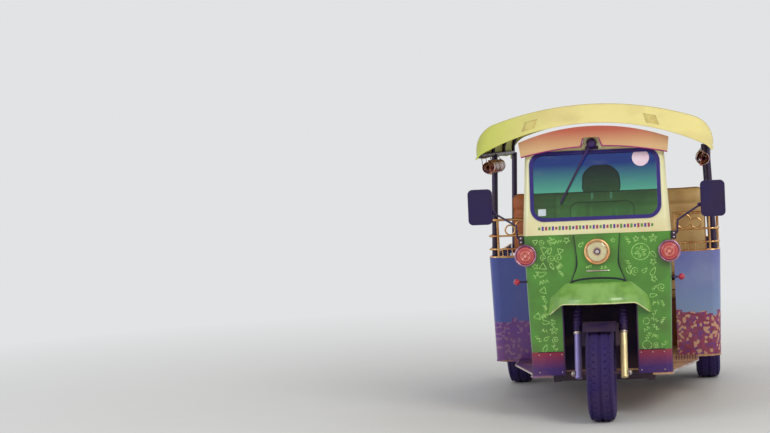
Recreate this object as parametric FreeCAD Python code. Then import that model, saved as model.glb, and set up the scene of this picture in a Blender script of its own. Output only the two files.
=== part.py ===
import FreeCAD, Part
import math
import os

# Open three-wheeled taxi with one steered front wheel, a fabric canopy and a bench for passengers.
# Millimetres. X to the vehicle's own left, Y to its rear, Z up, ground at zero, centred on X and Y.

V = FreeCAD.Vector
LEFT_RIGHT = (-1, 1)

# Overall
overall_length = 3060.0
wheelbase = 2040.0
tyre_diameter = 556.0
tyre_width = 162.0
rim_seat_diameter = 305.0
rear_track = 1270.0

# Clearances
seat_gap = 0.3
shaft_gap = 0.3
body_gap = 3.0

# Front panel and its opening
front_overhang = 372.0
panel_skin = 12.0
panel_bottom_z = 400.0
panel_top_z = 1090.0
panel_bottom_width = 824.0
panel_top_width = 866.0
panel_corner_radius = 38.0
panel_return = 90.0
arch_width = 430.0
arch_top_z = 745.0
arch_corner_radius = 60.0

# Nose panel
nose_top_width = 263.0
nose_waist_width = 228.0
nose_bottom_width = 314.0
nose_waist_z = 910.0
nose_bottom_z = 806.0
nose_raise = 14.0

# Windscreen
screen_top_z = 1622.0
screen_top_width = 812.0
screen_lean = 9.0
screen_return = 70.0
glass_width = 724.0
glass_bottom_z = 1192.0
glass_height = 372.0
glass_corner_radius = 60.0
glass_thickness = 6.0
gasket_width = 22.0
gasket_depth = 26.0

# Canopy
canopy_crown_z = 1850.0
canopy_crown_radius = 1840.0
canopy_shoulder_radius = 160.0
canopy_width = 1390.0
canopy_skirt_z = 1565.0
canopy_thickness = 6.0
canopy_front_overhang = 150.0
canopy_front_crown_z = 1745.0
canopy_front_crown_radius = 1450.0
canopy_rear_overhang = 55.0
hoop_tube_radius = 12.0

# Rear body
body_width = 1460.0
body_bottom_width = 1420.0
body_front_y = -230.0
body_rear_y = 1405.0
body_corner_radius = 60.0
body_skin = 12.0
body_tail_z = 310.0
body_top_z = 917.0
wing_inner_x = 440.0
rear_arch_radius = 335.0

# Floor and frame
floor_top_z = 262.0
floor_thickness = 12.0
rail_spacing = 560.0
rail_width = 50.0
rail_height = 60.0
rail_kick = 205.0

# Seats
driver_seat_width = 480.0
driver_seat_z = 560.0
driver_cushion_thickness = 110.0
bench_width = 1030.0
bench_base_z = 560.0
bench_cushion_thickness = 100.0
bench_back_top_z = 1305.0

# Lamps
headlamp_radius = 76.0
headlamp_z = 985.0
side_lamp_radius = 66.0
side_lamp_x = 420.0
side_lamp_z = 975.0

# Steering
rake = 22.0
trail = 60.0
fork_spacing = 267.0
slider_radius = 20.5
crown_z = 680.0
axle_radius = 9.0

# Places worked out from the sizes above
tyre_radius = tyre_diameter / 2
front_axle_y = tyre_radius - overall_length / 2
rear_axle_y = front_axle_y + wheelbase
panel_y = front_overhang - overall_length / 2
rear_wheel_x = rear_track / 2


def box(x0, x1, y0, y1, z0, z1):
    """A block between two corners."""
    return Part.makeBox(x1 - x0, y1 - y0, z1 - z0, V(x0, y0, z0))


def rod(start, end, radius):
    """A round bar between two points."""
    line = end - start
    return Part.makeCylinder(radius, line.Length, start, line)


def fuse(shapes):
    """One shape from several that touch or overlap."""
    return shapes[0].multiFuse(shapes[1:]).removeSplitter()


def gather(shapes):
    """Several solids that do not touch, kept in one node."""
    return Part.makeCompound(shapes)


def mirrored(shape):
    """The same shape on the other side of the centre plane."""
    return shape.mirror(V(0, 0, 0), V(1, 0, 0))


def both_sides(shape):
    """A shape and its mirror image."""
    return gather([shape, mirrored(shape)])


def corner_arc(before, corner, after, radius):
    """The two tangent points and the middle of the arc that rounds a corner."""
    back = (before - corner).normalize()
    ahead = (after - corner).normalize()
    half = back.getAngle(ahead) / 2
    reach = radius / math.tan(half)
    centre = corner + (back + ahead).normalize() * (radius / math.sin(half))
    middle = centre + (corner - centre).normalize() * radius
    return corner + back * reach, middle, corner + ahead * reach


def closed_outline(corners, place):
    """A closed wire from (u, v, radius) corners; place turns u, v into a point."""
    count = len(corners)
    points = [place(u, v) for u, v, radius in corners]
    spans = []
    for i, (u, v, radius) in enumerate(corners):
        if radius > 0:
            spans.append(corner_arc(points[i - 1], points[i], points[(i + 1) % count], radius))
        else:
            spans.append((points[i], None, points[i]))
    edges = []
    for i, (start, middle, end) in enumerate(spans):
        if middle is not None:
            edges.append(Part.Arc(start, middle, end).toShape())
        following = spans[(i + 1) % count][0]
        if (following - end).Length > 1e-6:
            edges.append(Part.LineSegment(end, following).toShape())
    return Part.Wire(edges)


def bent_tube(points, radius, bend):
    """A round tube along straight runs joined by arcs."""
    edges = []
    start = points[0]
    for i in range(1, len(points) - 1):
        into, middle, out = corner_arc(points[i - 1], points[i], points[i + 1], bend)
        edges.append(Part.LineSegment(start, into).toShape())
        edges.append(Part.Arc(into, middle, out).toShape())
        start = out
    edges.append(Part.LineSegment(start, points[-1]).toShape())
    circle = Part.Wire(Part.makeCircle(radius, points[0], points[1] - points[0]))
    return Part.Wire(edges).makePipeShell([circle], True, False)


def front_outline(corners, y):
    """A closed wire in the upright plane at y, from (x, z, radius) corners."""
    return closed_outline(corners, lambda x, z: V(x, y, z))


def slab(corners, y, depth):
    """A flat piece that faces forwards, from (x, z, radius) corners."""
    return Part.Face(front_outline(corners, y)).extrude(V(0, depth, 0))


def side_slab(corners, x, width):
    """A flat piece that faces sideways, from (y, z, radius) corners."""
    wire = closed_outline(corners, lambda y, z: V(x, y, z))
    return Part.Face(wire).extrude(V(width, 0, 0))


def revolve_profile(profile, place, origin, axis):
    """A turned piece from a closed (radius, height, rounding) profile."""
    wire = closed_outline(profile, place)
    return Part.Face(wire).revolve(origin, axis, 360)


def wrapped_section(half_width, y, z, depth, radius, skin):
    """A section of skin that faces forwards and returns backwards at both ends."""
    inner = half_width - skin
    corners = [
        (-half_width, y + depth, 0),
        (-half_width, y, radius),
        (half_width, y, radius),
        (half_width, y + depth, 0),
        (inner, y + depth, 0),
        (inner, y + skin, radius - skin),
        (-inner, y + skin, radius - skin),
        (-inner, y + depth, 0),
    ]
    return closed_outline(corners, lambda across, along: V(across, along, z))


# Steering axis

axis_tilt = math.radians(rake)
axis_direction = V(0, math.sin(axis_tilt), math.cos(axis_tilt))
axis_ground_y = front_axle_y - trail
steerer_radius = 15.0


def axis_point(z):
    """The point of the steering axis at a height."""
    return V(0, axis_ground_y + z * math.tan(axis_tilt), z)


# Front of the cab

def panel_half_width(z):
    """Half the width of the front panel at a height."""
    share = (z - panel_bottom_z) / (panel_top_z - panel_bottom_z)
    return (panel_bottom_width + share * (panel_top_width - panel_bottom_width)) / 2


def arch_cutter():
    """The opening in the front panel and the valance for the steered wheel."""
    half = arch_width / 2
    corners = [
        (-half, 0, 0),
        (half, 0, 0),
        (half, arch_top_z, arch_corner_radius),
        (-half, arch_top_z, arch_corner_radius),
    ]
    return slab(corners, panel_y - 100, 400)


def front_panel():
    low = wrapped_section(panel_bottom_width / 2, panel_y, panel_bottom_z,
                          panel_return, panel_corner_radius, panel_skin)
    high = wrapped_section(panel_top_width / 2, panel_y, panel_top_z,
                           panel_return, panel_corner_radius, panel_skin)
    return Part.makeLoft([low, high], True, True).cut(arch_cutter())


def front_valance():
    """The lower part of the front, which stands on the floor plate."""
    wire = wrapped_section(panel_bottom_width / 2, panel_y, floor_top_z + seat_gap,
                           panel_return, panel_corner_radius, panel_skin)
    height = panel_bottom_z - floor_top_z - 2 * seat_gap
    return Part.Face(wire).extrude(V(0, 0, height)).cut(arch_cutter())


def nose_panel():
    top = nose_top_width / 2
    waist = nose_waist_width / 2
    low = nose_bottom_width / 2
    corners = [
        (-low, nose_bottom_z, 14),
        (low, nose_bottom_z, 14),
        (waist, nose_waist_z, 90),
        (top, panel_top_z - 2, 6),
        (-top, panel_top_z - 2, 6),
        (-waist, nose_waist_z, 90),
    ]
    panel = slab(corners, panel_y - nose_raise, nose_raise)
    bowl = Part.makeCylinder(headlamp_radius - 12, 40, V(0, panel_y - 30, headlamp_z), V(0, 1, 0))
    return panel.cut(bowl)


def front_brow():
    """A visor over the wheel opening, turned about an upright axis and cut by a curved lower edge."""
    plan_radius = 337.0
    reach = 170.0
    axis_y = panel_y - reach + plan_radius
    inner = plan_radius - reach
    skin = 6.0
    outer = [
        (inner - 20, 806, 0),
        (250, 806, 40),
        (plan_radius - 6, 720, 60),
        (plan_radius + 12, 610, 0),
    ]
    back = [(r - skin, z - skin, max(bend - skin, 0)) for r, z, bend in reversed(outer)]
    profile = outer + back
    solid = revolve_profile(profile, lambda r, z: V(0, axis_y - r, z), V(0, axis_y, 0), V(0, 0, 1))
    front_part = box(-500, 500, panel_y - 400, panel_y, 500, 900)
    edge = [
        (-400, 560, 0),
        (400, 560, 0),
        (400, 580, 0),
        (292, 622, 0),
        (215, 688, 70),
        (-215, 688, 70),
        (-292, 622, 0),
        (-400, 580, 0),
    ]
    return solid.common(front_part).cut(slab(edge, panel_y - 400, 400))


well_half_width = 300.0
well_rear_y = front_axle_y + tyre_radius + 75
well_top_z = 765.0
well_skin = 4.0


def wheel_well():
    """A box behind the front panel in which the front wheel turns, open in front and below."""
    front = panel_y + panel_skin + seat_gap
    foot = floor_top_z + seat_gap
    outer = box(-well_half_width, well_half_width, front, well_rear_y, foot, well_top_z)
    inner = box(-well_half_width + well_skin, well_half_width - well_skin, front - 10,
                well_rear_y - well_skin, foot - 10, well_top_z - well_skin)
    hole = rod(axis_point(well_top_z - 60), axis_point(well_top_z + 60), steerer_radius + 12)
    return outer.cut(inner).cut(hole)


def lean(shape):
    """Tip an upright shape back by the angle of the windscreen, about the top of the front panel."""
    return shape.rotate(V(0, panel_y, panel_top_z), V(1, 0, 0), -screen_lean)


def glass_corners(grow):
    half = glass_width / 2 + grow
    radius = glass_corner_radius + grow
    return [
        (-half, glass_bottom_z - grow, radius),
        (half, glass_bottom_z - grow, radius),
        (half, glass_bottom_z + glass_height + grow, radius),
        (-half, glass_bottom_z + glass_height + grow, radius),
    ]


def windscreen_frame():
    low = wrapped_section(panel_top_width / 2, panel_y, panel_top_z,
                          screen_return, panel_corner_radius, panel_skin)
    back = (screen_top_z - panel_top_z) * math.tan(math.radians(screen_lean))
    high = wrapped_section(screen_top_width / 2, panel_y + back, screen_top_z,
                           screen_return, panel_corner_radius, panel_skin)
    frame = Part.makeLoft([low, high], True, True)
    opening = lean(slab(glass_corners(gasket_width - 6), panel_y - 60, 120))
    return frame.cut(opening)


def windscreen_gasket():
    front = panel_y - 5
    ring = slab(glass_corners(gasket_width - 6), front, gasket_depth)
    lip = slab(glass_corners(gasket_width), front, 5)
    hole = slab(glass_corners(0), front - 5, gasket_depth + 10)
    return lean(ring.fuse(lip).cut(hole).removeSplitter())


def windscreen_glass():
    return lean(slab(glass_corners(-seat_gap), panel_y + 3, glass_thickness))


def wiper():
    """The motor plate and spindle above the glass, the arm and the blade."""
    pivot = V(-10, panel_y - 30, 1632)
    tip = V(-150, panel_y - 24, 1370)
    plate = box(-48, 28, panel_y - 12, panel_y - seat_gap, 1590, 1650)
    spindle = rod(pivot + V(0, -10, 0), pivot + V(0, 25, 0), 13)
    arm = rod(pivot, tip, 5)
    along = (tip - pivot).normalize()
    blade_middle = tip - along * 20
    blade = rod(blade_middle - along * 130, blade_middle + along * 130, 7)
    return lean(fuse([plate, spindle, arm, blade]))


peak_lean = 22.0
peak_half_width = 445.0
peak_bulge = 40.0
peak_skin = 10.0


def peak_block(inset):
    """Everything behind the bulged face of the visor, which leans forwards as it rises."""
    low_z = 1500.0
    y_end = panel_y + 79 + inset
    side = peak_half_width - inset
    arc = Part.Arc(V(-side, y_end, low_z), V(0, y_end - peak_bulge, low_z), V(side, y_end, low_z)).toShape()
    corners = [V(side, y_end, low_z), V(side, y_end + 200, low_z), V(-side, y_end + 200, low_z), V(-side, y_end, low_z)]
    lines = [Part.LineSegment(corners[i], corners[i + 1]).toShape() for i in range(3)]
    height = 300.0
    return Part.Face(Part.Wire([arc] + lines)).extrude(V(0, -height * math.tan(math.radians(peak_lean)), height))


def peak_outline(raise_by, narrow_by):
    """The visor as seen from the front: two arcs and two short ends."""
    low = peak_half_width - 15 - narrow_by
    high = peak_half_width - 5 - narrow_by
    y = panel_y - 200
    low_arc = Part.Arc(V(-low, y, 1552 + raise_by), V(0, y, 1604 + raise_by), V(low, y, 1552 + raise_by)).toShape()
    top_arc = Part.Arc(V(high, y, 1640 + raise_by), V(0, y, 1722 + raise_by), V(-high, y, 1640 + raise_by)).toShape()
    right = Part.LineSegment(V(low, y, 1552 + raise_by), V(high, y, 1640 + raise_by)).toShape()
    left = Part.LineSegment(V(-high, y, 1640 + raise_by), V(-low, y, 1552 + raise_by)).toShape()
    return Part.Face(Part.Wire([low_arc, right, top_arc, left])).extrude(V(0, 500, 0))


def roof_peak():
    """The moulded visor between the windscreen and the front edge of the canopy."""
    solid = peak_block(0).common(peak_outline(0, 0))
    hollow = peak_block(peak_skin).common(peak_outline(peak_skin, peak_skin))
    behind = lean(box(-600, 600, panel_y - seat_gap, panel_y + 400, 1300, 1900))
    notch = slab([(-76, 1560, 0), (56, 1560, 0), (36, 1656, 14), (-56, 1656, 14)], panel_y - 200, 400)
    gasket_room = lean(slab(glass_corners(gasket_width + 2), panel_y - 7, 20))
    return solid.cut(hollow).cut(behind).cut(notch).cut(gasket_room)


def dash_console():
    """The shelf and dial pod behind the windscreen."""
    half = panel_bottom_width / 2 - panel_corner_radius - body_gap
    front = panel_y + panel_skin + seat_gap
    corners = [
        (front, 960, 0),
        (front + 90, 960, 20),
        (front + 108, 1050, 25),
        (front + 45, 1085, 25),
        (front, 1085, 0),
    ]
    return side_slab(corners, -half, 2 * half)


# Lamps and mirrors

def lamp_shell(centre, radius, depth):
    """A chrome lamp body with a rolled rim, open in front for its lens."""
    profile = [
        (0, depth, 0),
        (radius * 0.45, depth, radius * 0.2),
        (radius * 0.92, 12, 0),
        (radius, 8, 0),
        (radius, -8, 5),
        (radius * 0.82, -8, 0),
        (radius * 0.82, 4, 0),
        (0, 4, 0),
    ]
    place = lambda r, along: V(centre.x + r, centre.y + along, centre.z)
    return revolve_profile(profile, place, centre, V(0, 1, 0))


def lamp_lens(centre, radius):
    """A domed lens that sits in the rim."""
    seat = radius * 0.82 - seat_gap
    profile = [(0, 4 - seat_gap, 0), (seat, 4 - seat_gap, 0), (seat, -8, 0), (seat * 0.5, -18, seat * 0.4), (0, -20, 0)]
    place = lambda r, along: V(centre.x + r, centre.y + along, centre.z)
    return revolve_profile(profile, place, centre, V(0, 1, 0))


headlamp_centre = V(0, panel_y - nose_raise - 12, headlamp_z)
side_lamp_centre = V(side_lamp_x, panel_y - 22, side_lamp_z)


def side_lamp_shells():
    """Each lamp stands on a short bracket at the corner of the front panel."""
    shell = lamp_shell(side_lamp_centre, side_lamp_radius, 21)
    stem = rod(V(438, panel_y - 8, side_lamp_z), V(438, panel_y + 60, side_lamp_z), 8)
    foot = box(panel_half_width(side_lamp_z) + 2, 447, panel_y + 40, panel_y + 75, side_lamp_z - 25, side_lamp_z + 25)
    return both_sides(fuse([shell, stem.cut(panel_clearance()), foot.cut(panel_clearance())]))


def panel_clearance():
    """The front panel's outer form, grown by the seating gap."""
    low = wrapped_section(panel_bottom_width / 2 + seat_gap, panel_y - seat_gap, panel_bottom_z,
                          panel_return + seat_gap, panel_corner_radius, panel_skin)
    high = wrapped_section(panel_top_width / 2 + seat_gap, panel_y - seat_gap, panel_top_z,
                           panel_return + seat_gap, panel_corner_radius, panel_skin)
    return Part.makeLoft([low, high], True, True)


def side_lamp_lenses():
    return both_sides(lamp_lens(side_lamp_centre, side_lamp_radius))


indicator_centre = V(484, panel_y + 45, 817)
indicator_radius = 19.0


def indicator_stalks():
    start = V(panel_half_width(indicator_centre.z) + seat_gap + 0.5, indicator_centre.y, indicator_centre.z)
    end = indicator_centre - V(indicator_radius + seat_gap, 0, 0)
    return both_sides(rod(start, end, 6))


def indicator_bulbs():
    return both_sides(Part.makeSphere(indicator_radius, indicator_centre))


mirror_inner_x = 610.0
mirror_outer_x = 752.0
mirror_low_z = 1165.0
mirror_high_z = 1375.0


def mirror_arms():
    """A bracket on each shoulder of the cab and the bent arm that holds the mirror."""
    start_x = panel_top_width / 2 + seat_gap
    y = panel_y + 45
    route = [
        V(start_x + 20, y, 1070),
        V(start_x + 36, y, 1080),
        V(start_x + 40, y, 1150),
        V(mirror_inner_x - 3.2, y - 10, 1235),
    ]
    bracket = box(start_x, start_x + 28, y - 20, y + 20, 1040, 1088)
    return both_sides(fuse([bracket, bent_tube(route, 6, 8)]))


def mirror_outline(inset):
    low = mirror_low_z + inset
    high = mirror_high_z - inset
    left = mirror_inner_x + inset
    right = mirror_outer_x - inset
    radius = 28 - inset
    return [(left, low, radius), (right, low, radius), (right, high, radius), (left, high, radius)]


def mirror_heads():
    head = slab(mirror_outline(0), panel_y + 12, 40)
    pocket = slab(mirror_outline(6), panel_y + 46, 10)
    return both_sides(head.cut(pocket))


def mirror_glasses():
    return both_sides(slab(mirror_outline(6 + seat_gap), panel_y + 46 + seat_gap, 3))


def tail_lamp_shells():
    body = box(500, 590, body_rear_y + seat_gap, body_rear_y + 30, 700, 860)
    return both_sides(body)


def tail_lamp_lenses():
    lens = box(506, 584, body_rear_y + 30 + seat_gap, body_rear_y + 45, 706, 854)
    return both_sides(lens)


# Frame and floor

rail_x = rail_spacing / 2
rail_low_z = floor_top_z - floor_thickness - rail_height
rail_high_z = rail_low_z + rail_kick
kick_start_y = rear_axle_y - 400
kick_end_y = rear_axle_y - 270
frame_front_y = well_rear_y + body_gap
frame_rear_y = body_rear_y - body_skin - seat_gap
neck_y = frame_front_y + 30
neck_x = 220.0
neck_radius = 17.0
spring_reach = 380.0
spring_x = rail_x + rail_width / 2 + 40
spring_width = 50.0
spring_eye_rise = 62.0
spring_pin_radius = 7.0
axle_tube_radius = 34.0


def spring_eye(end):
    """The centre of a spring's eye, in front of the axle for end -1 and behind it for 1."""
    return V(spring_x, rear_axle_y + end * spring_reach, tyre_radius + axle_tube_radius + spring_eye_rise)


def chassis_frame():
    corners = [
        (frame_front_y, rail_low_z, 0),
        (kick_start_y, rail_low_z, 60),
        (kick_end_y, rail_high_z, 60),
        (frame_rear_y, rail_high_z, 0),
        (frame_rear_y, rail_high_z + rail_height, 0),
        (kick_end_y, rail_high_z + rail_height, 60),
        (kick_start_y, rail_low_z + rail_height, 60),
        (frame_front_y, rail_low_z + rail_height, 0),
    ]
    inner_x = rail_x - rail_width / 2
    outer_x = rail_x + rail_width / 2
    rail = side_slab(corners, inner_x, rail_width)
    front_hanger = box(outer_x - 1, outer_x + 8, kick_start_y, kick_start_y + 45, rail_low_z + 20, spring_eye(-1).z + 18)
    rear_y = spring_eye(1).y
    rear_hanger = box(outer_x - 1, outer_x + 8, rear_y - 22, rear_y + 22, spring_eye(1).z - 18, rail_high_z + 40)
    one_side = [rail, front_hanger, rear_hanger]
    for end in (-1, 1):
        eye = spring_eye(end)
        one_side.append(rod(V(outer_x, eye.y, eye.z), V(spring_x + spring_width / 2 + 8, eye.y, eye.z),
                            spring_pin_radius))
    neck = [V(neck_x, neck_y, rail_low_z + 30), V(neck_x, neck_y, 830), V(22, axis_point(925).y, 925)]
    one_side.append(bent_tube(neck, neck_radius, 60))
    pieces = one_side + [mirrored(piece) for piece in one_side]
    for y, z in ((neck_y, rail_low_z), (-400, rail_low_z), (kick_start_y - 60, rail_low_z),
                 (rear_axle_y + 170, rail_high_z), (frame_rear_y - 30, rail_high_z)):
        pieces.append(box(-rail_x, rail_x, y - 25, y + 25, z + 5, z + rail_height - 5))
    pieces.append(rod(axis_point(well_top_z + 20), axis_point(960), 30))
    bore = rod(axis_point(600), axis_point(1100), steerer_radius + shaft_gap)
    return fuse(pieces).cut(bore)


step_x = 560.0
step_y = -520.0
floor_rear_y = kick_start_y - 45


def floor_platform():
    """The floor plate, which widens behind the cab into a step on each side."""
    half = panel_bottom_width / 2
    rear_half = body_bottom_width / 2
    outline = [
        (half, panel_y + 4, 0),
        (half, panel_y + panel_return + 20, 40),
        (step_x, step_y, 30),
        (step_x, body_front_y - 12, 0),
        (rear_half - body_corner_radius, body_front_y - 12, 0),
        (rear_half, body_front_y + 45, 0),
        (rear_half, floor_rear_y, 0),
    ]
    corners = [(x, y, r) for x, y, r in outline] + [(-x, y, r) for x, y, r in reversed(outline)]
    wire = closed_outline(corners, lambda x, y: V(x, y, floor_top_z - floor_thickness))
    plate = Part.Face(wire).extrude(V(0, 0, floor_thickness))
    inner = well_half_width - well_skin
    plate = plate.cut(box(-inner, inner, panel_y - 100, well_rear_y - well_skin, 0, 600))
    for x in (-neck_x, neck_x):
        plate = plate.cut(rod(V(x, neck_y, 100), V(x, neck_y, 400), neck_radius + seat_gap))
    return plate


# Seats

driver_seat_rear_y = -120.0
driver_seat_depth = 430.0
driver_back_thickness = 85.0
driver_back_top_z = 1265.0
headrest_low_z = 1300.0
headrest_top_z = 1487.0
headrest_width = 254.0


def driver_seat_base():
    y = driver_seat_rear_y - 20
    return box(-200, 200, y - 380, y, floor_top_z + seat_gap, driver_seat_z)


def driver_cushion():
    half = driver_seat_width / 2
    low = driver_seat_z + seat_gap
    high = driver_seat_z + driver_cushion_thickness
    corners = [(-half, low, 20), (half, low, 20), (half, high, 30), (-half, high, 30)]
    return slab(corners, driver_seat_rear_y - driver_seat_depth, driver_seat_depth)


def driver_backrest():
    half = driver_seat_width / 2 - 20
    low = driver_seat_z + driver_cushion_thickness + seat_gap
    corners = [(-half, low, 20), (half, low, 20), (half, driver_back_top_z, 70), (-half, driver_back_top_z, 70)]
    return slab(corners, driver_seat_rear_y - driver_back_thickness, driver_back_thickness)


def driver_headrest():
    """A round-topped pad on two posts."""
    half = headrest_width / 2
    corners = [(-half, headrest_low_z, 20), (half, headrest_low_z, 20),
               (half, headrest_top_z, 100), (-half, headrest_top_z, 100)]
    pad = slab(corners, driver_seat_rear_y - driver_back_thickness, driver_back_thickness - 5)
    y = driver_seat_rear_y - driver_back_thickness / 2
    posts = [rod(V(x, y, driver_back_top_z + seat_gap), V(x, y, headrest_low_z + 20), 6) for x in (-60, 60)]
    return fuse([pad] + posts)


bench_front_y = floor_rear_y - 15
bench_back_y = rear_axle_y + 150
bench_board = 12.0
bench_back_thickness = 105.0


def bench_base():
    """A hollow box with a front board down to the floor and a tall board behind the backrest."""
    half = bench_width / 2 - 15
    low = rail_high_z + rail_height + seat_gap
    outer = box(-half, half, bench_front_y, bench_back_y, low, bench_base_z)
    inner = box(-half + bench_board, half - bench_board, bench_front_y + bench_board,
                bench_back_y - bench_board, low - 10, bench_base_z - bench_board)
    front = box(-half, half, bench_front_y, bench_front_y + bench_board, floor_top_z + seat_gap, low + 20)
    back = box(-half, half, bench_back_y - bench_board, bench_back_y, low, bench_back_top_z - 40)
    return fuse([outer.cut(inner), front, back])


def bench_cushion():
    half = bench_width / 2
    low = bench_base_z + seat_gap
    high = bench_base_z + bench_cushion_thickness
    corners = [(-half, low, 20), (half, low, 20), (half, high, 35), (-half, high, 35)]
    rear = bench_back_y - bench_board - bench_back_thickness - 2
    return slab(corners, bench_front_y - 10, rear - bench_front_y + 10)


def bench_backrest():
    half = body_width / 2 - 55
    low = bench_base_z + bench_cushion_thickness + 10
    corners = [(-half, low, 30), (half, low, 30), (half, bench_back_top_z, 60), (-half, bench_back_top_z, 60)]
    rear = bench_back_y - bench_board - seat_gap
    return slab(corners, rear - bench_back_thickness, bench_back_thickness)


# Rear body

def side_panel_section(z, half_width):
    """A wing that faces forwards, a round corner and the long side, seen from above."""
    inner = half_width - body_skin
    corners = [
        (wing_inner_x, body_front_y, 0),
        (half_width, body_front_y, body_corner_radius),
        (half_width, body_rear_y, 0),
        (inner, body_rear_y, 0),
        (inner, body_front_y + body_skin, body_corner_radius - body_skin),
        (wing_inner_x, body_front_y + body_skin, 0),
    ]
    return closed_outline(corners, lambda x, y: V(x, y, z))


def side_panel():
    low = side_panel_section(floor_top_z + seat_gap, body_bottom_width / 2)
    high = side_panel_section(body_top_z, body_width / 2)
    panel = Part.makeLoft([low, high], True, True)
    arch = Part.makeCylinder(rear_arch_radius, 400, V(400, rear_axle_y, tyre_radius), V(1, 0, 0))
    tail = box(400, 900, rear_axle_y, body_rear_y + 10, 0, body_tail_z)
    return panel.cut(arch).cut(tail)


def body_interior():
    """The space between the two side panels, less the seating gap."""
    wires = []
    for z, width in ((floor_top_z + seat_gap, body_bottom_width), (body_top_z, body_width)):
        x = width / 2 - body_skin - seat_gap
        corners = [(-x, body_front_y, 0), (x, body_front_y, 0), (x, body_rear_y, 0), (-x, body_rear_y, 0)]
        wires.append(closed_outline(corners, lambda across, along: V(across, along, z)))
    return Part.makeLoft(wires, True, True)


def rear_panel():
    half = body_bottom_width / 2 - body_skin - seat_gap
    corners = [(-half, body_tail_z, 0), (half, body_tail_z, 0), (half, body_top_z, 0), (-half, body_top_z, 0)]
    return slab(corners, body_rear_y - body_skin, body_skin)


def rear_wheel_housing():
    """A half-round cover over each rear wheel, closed on its inner side."""
    inner_x = rear_wheel_x - tyre_width / 2 - 30
    outer_x = body_width / 2
    radius = rear_arch_radius + 4
    outer = Part.makeCylinder(radius, outer_x - inner_x, V(inner_x, rear_axle_y, tyre_radius), V(1, 0, 0))
    inner = Part.makeCylinder(radius - 4, outer_x - inner_x, V(inner_x + 4, rear_axle_y, tyre_radius), V(1, 0, 0))
    upper = box(inner_x, outer_x, rear_axle_y - radius, rear_axle_y + radius, tyre_radius + 60, tyre_radius + radius)
    axle_way = rod(V(inner_x - 20, rear_axle_y, tyre_radius), V(inner_x + 20, rear_axle_y, tyre_radius), 150)
    return outer.cut(inner).common(upper).cut(axle_way).common(body_interior())


def corner_rails():
    """Polished tubes that wrap each front corner of the passenger body, with rings and small spindles."""
    wing_y = body_front_y + body_skin / 2
    side_x = body_width / 2 - body_skin / 2
    end_y = rear_axle_y - 350
    bend = body_corner_radius - body_skin / 2
    low_z, middle_z, high_z = 969.0, 1053.0, 1156.0
    pieces = []
    for z, radius in ((low_z, 6), (middle_z, 6), (high_z, 8)):
        route = [V(wing_inner_x, wing_y, z), V(side_x, wing_y, z), V(side_x, end_y + 10, z)]
        pieces.append(bent_tube(route, radius, bend))
    for x, y in ((wing_inner_x + 8, wing_y), (side_x - bend - 4, wing_y), (side_x, end_y), (side_x, 100)):
        pieces.append(rod(V(x, y, body_top_z), V(x, y, high_z), 6))
    for x, radius in ((508, 45.1), (586, 31.4)):
        ring_z = middle_z + 5 + radius
        pieces.append(Part.makeTorus(radius, 5, V(x, wing_y, ring_z), V(0, 1, 0)))
    for i in range(6):
        x = wing_inner_x + 40 + i * 32
        pieces.append(rod(V(x, wing_y, body_top_z), V(x, wing_y, low_z), 3.5))
    rails = pieces[0].multiFuse(pieces[1:])
    return both_sides(rails)


# Canopy

hoop_front_y = panel_y + 110
hoop_rear_y = body_rear_y - body_skin - hoop_tube_radius - 4
frame_inset = canopy_thickness + seat_gap + hoop_tube_radius
pillar_radius = 19.0
pillar_y = body_front_y + body_skin + 46
canopy_full_drop = 1602.0 - canopy_skirt_z


def canopy_hoop(y):
    """A bent tube across the vehicle just under the fabric."""
    edges, left, right = canopy_curve(y, canopy_crown_z, canopy_crown_radius, canopy_shoulder_radius,
                                      canopy_width / 2, 90, canopy_full_drop, frame_inset)
    circle = Part.Wire(Part.makeCircle(hoop_tube_radius, left, V(0, 0, 1)))
    return Part.Wire(edges).makePipeShell([circle], True, False)


def canopy_frame():
    half = canopy_width / 2 - frame_inset
    rail_z = canopy_skirt_z + hoop_tube_radius
    pieces = []
    for y in (hoop_front_y, pillar_y, 600.0, hoop_rear_y):
        pieces.append(canopy_hoop(y))
    rail = rod(V(half, hoop_front_y, rail_z), V(half, hoop_rear_y, rail_z), hoop_tube_radius)
    pieces += [rail, mirrored(rail)]
    for y in (pillar_y, hoop_rear_y - 8):
        foot_x = body_width / 2 - body_skin - pillar_radius - 3
        post = rod(V(foot_x, y, body_top_z - 60), V(half - 8, y, rail_z), pillar_radius)
        pieces += [post, mirrored(post)]
    return fuse(pieces)


def canopy_curve(y, crown_z, crown_radius, shoulder_radius, half_width, end_angle, drop, offset):
    """The edges across the vehicle, a crown arc, two shoulder arcs and two skirts, moved in by offset."""
    turn = math.radians(end_angle)
    big = crown_radius - offset
    small = shoulder_radius - offset
    across = half_width - shoulder_radius
    rise = math.sqrt((crown_radius - shoulder_radius) ** 2 - across ** 2)
    centre_z = crown_z - crown_radius
    shoulder_z = centre_z + rise
    top_angle = math.atan2(across, rise)
    middle_angle = (top_angle + turn) / 2
    tangent = V(big * math.sin(top_angle), y, centre_z + big * math.cos(top_angle))
    middle = V(across + small * math.sin(middle_angle), y, shoulder_z + small * math.cos(middle_angle))
    end = V(across + small * math.sin(turn), y, shoulder_z + small * math.cos(turn))
    tip = end + V(math.cos(turn), 0, -math.sin(turn)) * drop
    crown = V(0, y, centre_z + big)
    flip = lambda point: V(-point.x, point.y, point.z)
    edges = [
        Part.LineSegment(flip(tip), flip(end)).toShape(),
        Part.Arc(flip(end), flip(middle), flip(tangent)).toShape(),
        Part.Arc(flip(tangent), crown, tangent).toShape(),
        Part.Arc(tangent, middle, end).toShape(),
        Part.LineSegment(end, tip).toShape(),
    ]
    return edges, flip(tip), tip


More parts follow.
